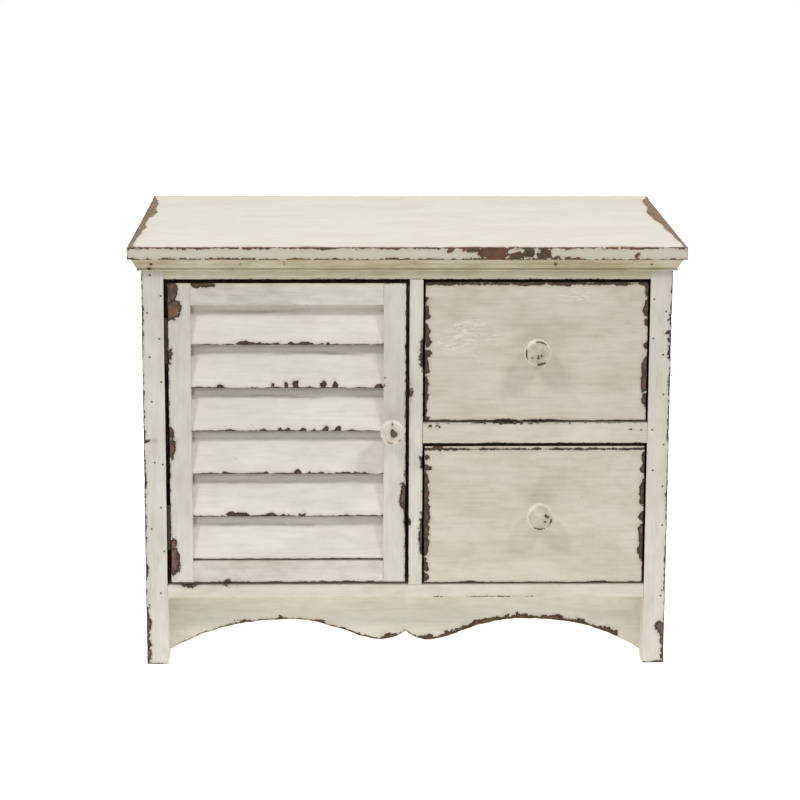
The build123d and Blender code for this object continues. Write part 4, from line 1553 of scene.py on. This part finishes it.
@dataclass
class LouvredDoor:
    """The door: two stiles, two rails, six slats, and the hardware on it.

    Attributes:
        finishes: the cabinet's finishes.
        tilt: how far the slats lean back, in degrees.
        slat_chips: for each slat from the top down, chips by their place along it, height over its lower
            edge, half length and half height.
    """

    finishes: Finishes
    tilt: float = 15.0
    slat_chips: tuple[tuple[Place, ...], ...] = (
        (
            (-115.5, 0.0, 9.5, 2.4), (-118.0, 1.4, 3.6, 1.8), (-103.0, 0.0, 3.4, 1.7),
            (-94.0, 0.6, 2.0, 1.4), (-83.5, 0.0, 3.6, 1.8), (-74.0, 0.5, 6.0, 2.0),
            (-61.3, 0.4, 1.7, 1.3), (-57.4, 0.3, 1.5, 1.3), (-41.0, 0.0, 12.0, 0.6),
        ),
        (
            (-135.3, 1.2, 2.5, 1.6), (-97.0, 1.4, 1.1, 2.2), (-87.3, 1.9, 2.1, 2.7), (-80.7, 2.9, 2.3, 3.3),
            (-60.5, 2.2, 2.3, 2.9), (-52.4, 2.2, 2.0, 3.0), (-20.0, 0.6, 3.0, 1.8),
        ),
        (
            (-128.5, 0.0, 4.0, 1.0), (-103.3, 0.0, 4.0, 1.5), (-91.5, 0.2, 3.0, 1.8),
            (-86.2, 1.0, 1.1, 1.8), (-75.2, 0.2, 3.0, 1.7), (-67.7, 0.0, 2.6, 1.1),
            (-58.4, 1.0, 2.8, 2.3), (-49.2, 1.4, 2.2, 2.6),
        ),
        (
            (-131.7, 0.2, 2.8, 1.5), (-102.2, 0.2, 2.0, 1.5), (-79.1, 0.3, 3.3, 2.1),
            (-70.9, 0.1, 2.2, 1.3), (-62.7, 0.1, 2.9, 1.3), (-44.2, 0.0, 15.0, 1.2),
        ),
        (
            (-127.5, 1.2, 3.2, 3.4), (-119.6, 0.4, 5.6, 2.7), (-98.3, 0.2, 5.0, 2.3),
            (-89.8, 0.1, 1.6, 1.4), (-85.1, 0.0, 2.6, 1.1), (-77.9, 0.4, 1.6, 1.8),
            (-74.6, 1.0, 0.9, 1.7), (-44.2, 0.2, 1.4, 1.4),
        ),
        (),
    )

    def build(self) -> None:
        """Makes the members of the door and its knob, and dresses both hinges."""
        self.stile(
            "door_hinge_stile", LEFT, RIGHT, 51,
            (
                (-169.6, 280.0, 4.6, 8.5), (-168.4, 269.0, 5.6, 6.0), (-169.8, 262.5, 4.6, 4.2),
                (-171.4, 233.0, 2.4, 6.0), (-171.2, 176.0, 2.6, 4.2), (-171.0, 163.5, 3.2, 8.0),
                (-170.6, 93.0, 3.4, 5.0), (-170.0, 80.0, 4.4, 11.5),
            ),
        )
        lock_chips = ((-1.4, 127.5, 3.6, 11.0), (-17.2, 211.5, 2.0, 1.2), (-16.2, 217.0, 1.0, 1.0))
        self.stile("door_lock_stile", RIGHT, LEFT, 52, lock_chips)
        self.rail("door_top_rail", (TOP,), -0.5, (-147.5, 285.8, 10.5, 2.6), 53)
        self.rail("door_bottom_rail", (), 0.5, (-132.0, 64.0, 2.4, 1.6), 54)
        for number, chips in enumerate(self.slat_chips):
            self.slat(f"slat_{number + 1}", chips, 81 + number)
        spots = (Chip((1.0, 0.0, 0.3), (3.1, 4.0, 3.0)), Chip((-0.3, 1.0, 7.0), (0.6, 2.0, 1.3)))
        cracks = (RimCrack(-122.0, -84.0, 0.9, 1.8), RimCrack(-56.0, -36.0, 0.9, 1.4))
        Knob("door_knob", "door", self.finishes.knob, spots, cracks, 71).build()
        kinds = ("frame_leaf", "door_leaf", "pin")
        parts = [f"{level}_hinge_{kind}" for level in ("upper", "lower") for kind in kinds]
        dress(self.finishes.hinge, *parts, "frame_hinge_screws", "door_hinge_screws")

    def stile(self, node: str, outer: Side, inner: Side, seed: int, chips: tuple[Place, ...]) -> None:
        """An upright of the door, bare on its outer side and top, dark there also as painted shade in the
        gaps.

        Args:
            node: the solid.
            outer: the side away from the slats.
            inner: the side at the slats.
            seed: picks its wear.
            chips: places on its front where the paint is gone.
        """
        Board(
            node, "door", self.finishes.door_up, seed, wear=EdgeWear(-0.3, 0.6, 0.1),
            edges=((FRONT, outer, EdgeWear(0.25, 1.2, 0.3)),), tight=(inner,), chips=chips, raw=(outer, TOP),
        ).build()

    def rail(self, node: str, raw: tuple[Side, ...], line: float, chip: Place, seed: int) -> None:
        """A rail of the door, between the stiles, without its tenons, which are hidden in them.

        Args:
            node: the solid.
            raw: its sides without paint, dark also as painted shade in the gap.
            line: wear along its lower front edge.
            chip: the one place on its front where the paint is gone.
            seed: picks its wear.
        """
        low, high = node_box(node)
        low[0], high[0] = node_box("door_hinge_stile")[1][0], node_box("door_lock_stile")[0][0]
        Board(
            node, "door", self.finishes.door_across, seed, wear=EdgeWear(-0.8, 0.4, 0.1), tight=(LEFT, RIGHT),
            edges=((FRONT, BOTTOM, EdgeWear(line, 0.3, 0.3, 30.0)),), chips=(chip,), raw=raw, box=(low, high),
        ).build()

    def slat(self, node: str, chips: tuple[Place, ...], seed: int) -> None:
        """One slat, whose lower edge is worn, but calm on the one that has no chips.

        Args:
            node: the solid.
            chips: as in slat_chips.
            seed: picks its wear.
        """
        edge = node_box(node)[0][2] + Slat.thick * math.sin(math.radians(self.tilt))
        worn = EdgeWear(0.75, 0.3, 0.3, 16.0) if chips else EdgeWear(0.2, 0.2, 0.3, 16.0)
        Slat(
            node, "door", self.finishes.slat, seed,
            pitch=(1.25, 0.9, 1.2),
            ease=0.95,
            wear=EdgeWear(0.25, 0.9, 0.25, 20.0),
            edges=((FRONT, BOTTOM, worn),),
            tight=(LEFT, RIGHT),
            chips=[(x, edge + up, wide, tall) for x, up, wide, tall in chips],
            tilt=self.tilt,
            rough=0.4,
        ).build()


@dataclass
class Drawer:
    """One drawer: a slab front, a box of bare boards behind it, and a knob.

    Attributes:
        name: the body and the start of its solids' names.
        finishes: the cabinet's finishes.
        chips: places on the front where the paint is gone.
        knob_chips: places on the knob, from its middle: across, up, half length, half height.
        knob_cracks: paint lost along the knob's rim.
        top_wear: wear of the front's upper edge.
        seed: picks its wear.
    """

    name: str
    finishes: Finishes
    chips: tuple[Place, ...]
    knob_chips: tuple[Place, ...]
    knob_cracks: tuple[RimCrack, ...]
    top_wear: EdgeWear
    seed: int

    @classmethod
    def upper(cls, finishes: Finishes) -> "Drawer":
        """The upper drawer.

        Args:
            finishes: the cabinet's finishes.

        Returns:
            The drawer.
        """
        chips = (
            (13.4, 275.0, 2.5, 1.1), (13.6, 266.5, 2.3, 5.5), (14.0, 261.8, 2.8, 1.9),
            (13.8, 252.0, 2.7, 5.5), (14.2, 244.0, 3.0, 5.0), (14.6, 234.6, 3.6, 2.9),
            (13.8, 226.0, 2.5, 8.0), (13.4, 208.0, 2.2, 12.0), (13.2, 193.0, 1.9, 4.5),
            (14.0, 186.8, 3.1, 2.4), (70.0, 185.2, 10.0, 1.2), (172.6, 283.0, 2.3, 5.5),
            (172.6, 268.0, 2.5, 7.0), (172.8, 257.5, 1.9, 3.0), (173.0, 240.0, 1.9, 3.5),
            (172.6, 225.0, 3.0, 8.5), (172.4, 213.0, 3.1, 8.0), (172.8, 200.0, 2.5, 6.0),
        )
        knob_chips = (
            (-0.2, -1.6, 1.3, 2.0), (2.4, -0.9, 0.8, 1.7), (-4.4, -2.6, 0.9, 0.9), (3.2, -8.0, 3.6, 1.5),
        )
        cracks = (RimCrack(40.0, 104.0, 0.6, 1.5), RimCrack(154.0, 213.0, 0.8, 1.5))
        top_wear = EdgeWear(1.1, 0.15, 0.4, 60.0, inset=1.0)
        return cls("upper_drawer", finishes, chips, knob_chips, cracks, top_wear, 91)

    @classmethod
    def lower(cls, finishes: Finishes) -> "Drawer":
        """The lower drawer.

        Args:
            finishes: the cabinet's finishes.

        Returns:
            The drawer.
        """
        chips = (
            (15.0, 157.5, 2.8, 1.8), (14.4, 149.2, 3.3, 2.2), (13.6, 140.0, 1.9, 8.0),
            (13.8, 128.0, 2.7, 10.0), (14.4, 114.0, 3.0, 8.0), (14.0, 100.0, 2.7, 8.0),
            (14.0, 90.0, 2.8, 8.0), (13.8, 76.0, 2.5, 6.0), (14.6, 66.8, 3.1, 3.0),
            (23.0, 164.6, 3.6, 2.4), (173.2, 157.0, 1.9, 5.5), (172.8, 148.0, 2.3, 3.5),
            (172.9, 130.0, 2.7, 10.0), (172.4, 113.0, 3.1, 4.5), (172.9, 100.0, 2.7, 8.0),
            (172.9, 88.0, 2.7, 10.0),
        )
        knob_chips = (
            (4.0, 2.0, 0.9, 1.7), (5.8, 0.8, 0.8, 1.3), (3.4, -2.4, 0.8, 1.0), (8.2, -2.2, 1.0, 1.9),
        )
        cracks = (
            RimCrack(52.0, 112.0, 0.5, 0.8), RimCrack(-126.0, -62.0, 1.0, 2.4),
            RimCrack(-60.0, -4.0, 0.9, 1.3),
        )
        top_wear = EdgeWear(0.75, 0.15, 0.4, 60.0, inset=2.1)
        return cls("lower_drawer", finishes, chips, knob_chips, cracks, top_wear, 96)

    def build(self) -> None:
        """Makes the front and the knob and dresses the box."""
        finishes = self.finishes
        Board(
            f"{self.name}_front", self.name, finishes.drawer, self.seed,
            pitch=(1.35, 1.6, 1.35),
            wear=EdgeWear(0.35, 0.9, 0.3),
            edges=((FRONT, TOP, self.top_wear),),
            chips=self.chips,
            # Sides and top bare where they face the gaps, dark also as painted shade.
            raw=(LEFT, RIGHT, TOP),
            rough=0.55,
        ).build()
        worn = tuple(Chip((x, 1.5, z), (half_x, 3.5, half_z)) for x, z, half_x, half_z in self.knob_chips)
        Knob(f"{self.name}_knob", self.name, finishes.knob, worn, self.knob_cracks, self.seed + 3).build()
        dress(finishes.bare_y, f"{self.name}_left_side", f"{self.name}_right_side")
        dress(finishes.bare_x, f"{self.name}_back")
        dress(finishes.sheet, f"{self.name}_bottom")
        dress(finishes.screw, f"{self.name}_knob_screw")


@dataclass
class Studio:
    """Camera, lamps and a pale floor.

    Attributes:
        focal: the photograph's focal length in its pixels.
        width: the photograph's width in pixels.
        axis_row: the row of the photograph that the camera's axis meets.
        eye: the camera's place in metres.
        pitch: how far it looks down, in radians.
        yaw: how far it is turned to the left, in radians.
        roll: how far it leans, in radians.
        sensor: the sensor's width in millimetres.
        sky_glow: strength of the light from all round.
        floor_glow: how much light the floor gives beside the cabinet.
        floor_half: half the floor's width, in millimetres.
        aim: the point that the lamps face, in metres.
    """

    focal: float = 2300.0
    width: float = 800.0
    axis_row: float = 240.0
    eye: tuple[float, float, float] = (-0.04055, -1.72120, 0.60638)
    pitch: float = 0.1761
    yaw: float = -0.0216
    roll: float = -0.0040
    sensor: float = 36.0
    sky_glow: float = 0.21
    floor_glow: float = 0.57
    floor_half: float = 3000.0
    aim: tuple[float, float, float] = (0.0, 0.0, 0.18)

    def camera(self) -> None:
        """A camera at the photograph's viewing angle."""
        level = math.cos(self.pitch)
        right = Vector((math.cos(self.yaw), math.sin(self.yaw), 0.0))
        ahead = Vector((-math.sin(self.yaw) * level, math.cos(self.yaw) * level, -math.sin(self.pitch)))
        down = ahead.cross(right)
        leaned_right = right * math.cos(self.roll) + down * math.sin(self.roll)
        leaned_down = down * math.cos(self.roll) - right * math.sin(self.roll)
        data = bpy.data.cameras.new("camera")
        data.sensor_width = self.sensor
        data.lens = self.focal * self.sensor / self.width
        data.shift_y = (self.axis_row - self.width / 2.0) / self.width
        data.clip_start, data.clip_end = 0.05, 50.0
        camera = bpy.data.objects.new("camera", data)
        bpy.context.scene.collection.objects.link(camera)
        turn = Matrix((leaned_right, -leaned_down, -ahead)).transposed().to_4x4()
        camera.matrix_world = Matrix.Translation(Vector(self.eye)) @ turn
        bpy.context.scene.camera = camera

    def lamp(self, name: str, place: Sequence[float], size: tuple[float, float], power: float) -> None:
        """A soft lamp, a rectangle that faces the cabinet.

        Args:
            name: its name.
            place: where it stands, in metres.
            size: its width and height in metres.
            power: in watts.
        """
        data = bpy.data.lights.new(name, "AREA")
        data.shape = "RECTANGLE"
        data.size, data.size_y = size
        data.energy = power
        lamp = bpy.data.objects.new(name, data)
        bpy.context.scene.collection.objects.link(lamp)
        lamp.location = place
        lamp.rotation_mode = "QUATERNION"
        lamp.rotation_quaternion = (Vector(self.aim) - Vector(place)).to_track_quat("-Z", "Y")

    def world(self) -> None:
        """Soft light from all round, shown as white."""
        world = bpy.data.worlds.new("surroundings")
        world.use_nodes = True
        tree = world.node_tree
        tree.nodes.clear()
        ray = add_node(tree, "ShaderNodeLightPath")
        seen = combine(tree, "MAXIMUM", (ray, "Is Camera Ray"), (ray, "Is Glossy Ray"))
        soft = add_node(tree, "ShaderNodeBackground", inputs={"Color": WHITE, "Strength": self.sky_glow})
        full = add_node(tree, "ShaderNodeBackground", inputs={"Color": WHITE, "Strength": 1.0})
        mixed = add_node(tree, "ShaderNodeMixShader", inputs={0: seen, 1: (soft, 0), 2: (full, 0)})
        add_node(tree, "ShaderNodeOutputWorld", inputs={"Surface": (mixed, 0)})
        bpy.context.scene.world = world

    def floor(self) -> None:
        """A matt floor that keeps the cabinet's shadow and glows towards white away from it.

        The glow that the camera sees grows with the distance from the cabinet, and the light that the floor
        gives falls with it.
        """
        material, tree = new_material("floor")
        seen = add_node(tree, "ShaderNodeLightPath"), "Is Camera Ray"
        matt = add_node(tree, "ShaderNodeBsdfDiffuse", inputs={"Color": linear("#F6F5F2")})
        length = add_node(tree, "ShaderNodeVectorMath", {"operation": "LENGTH"}, {0: object_place(tree)})
        shown = ramp(tree, (length, "Value"), 0.3, 0.8, 0.74, 1.0)
        given = ramp(tree, (length, "Value"), 0.22, 0.8, self.floor_glow, 0.08 * self.floor_glow)
        strength = combine(tree, "MULTIPLY", combine(tree, "SUBTRACT", shown, given), seen)
        strength = combine(tree, "ADD", strength, given)
        glow = add_node(tree, "ShaderNodeEmission", inputs={"Color": WHITE, "Strength": strength})
        both = add_node(tree, "ShaderNodeAddShader", inputs={0: (matt, 0), 1: (glow, 0)})
        add_node(tree, "ShaderNodeOutputMaterial", inputs={"Surface": (both, 0)})
        square = np.array([(-1.0, -1.0, 0.0), (1.0, -1.0, 0.0), (1.0, 1.0, 0.0), (-1.0, 1.0, 0.0)])
        floor = make_mesh("floor", self.floor_half * square, [np.array([[0, 1, 2, 3]])], {})
        floor.data.materials.append(material)

    def build(self) -> None:
        """Sets up camera, world, floor, lamps and view."""
        self.camera()
        self.world()
        self.floor()
        self.lamp("lamp_left", (-0.95, -1.25, 1.75), (0.32, 0.32), 12.0)
        self.lamp("lamp_right", (0.95, -1.15, 1.75), (0.32, 0.32), 11.0)
        self.lamp("lamp_top", (0.0, -0.7, 1.5), (1.5, 1.2), 2.5)
        self.lamp("lamp_over", (0.0, 0.25, 1.8), (1.2, 1.2), 8.0)
        bpy.context.scene.view_settings.view_transform = "Standard"


def main() -> None:
    """Builds the studio and the cabinet's looks, sub-assembly by sub-assembly."""
    logging.basicConfig(level=logging.INFO, format="%(message)s")
    Studio().build()
    finishes = Finishes()
    TopAssembly(finishes).build()
    FaceFrame(finishes).build()
    Carcass(finishes).build()
    LouvredDoor(finishes).build()
    Drawer.upper(finishes).build()
    Drawer.lower(finishes).build()


if __name__ == "__main__":
    main()
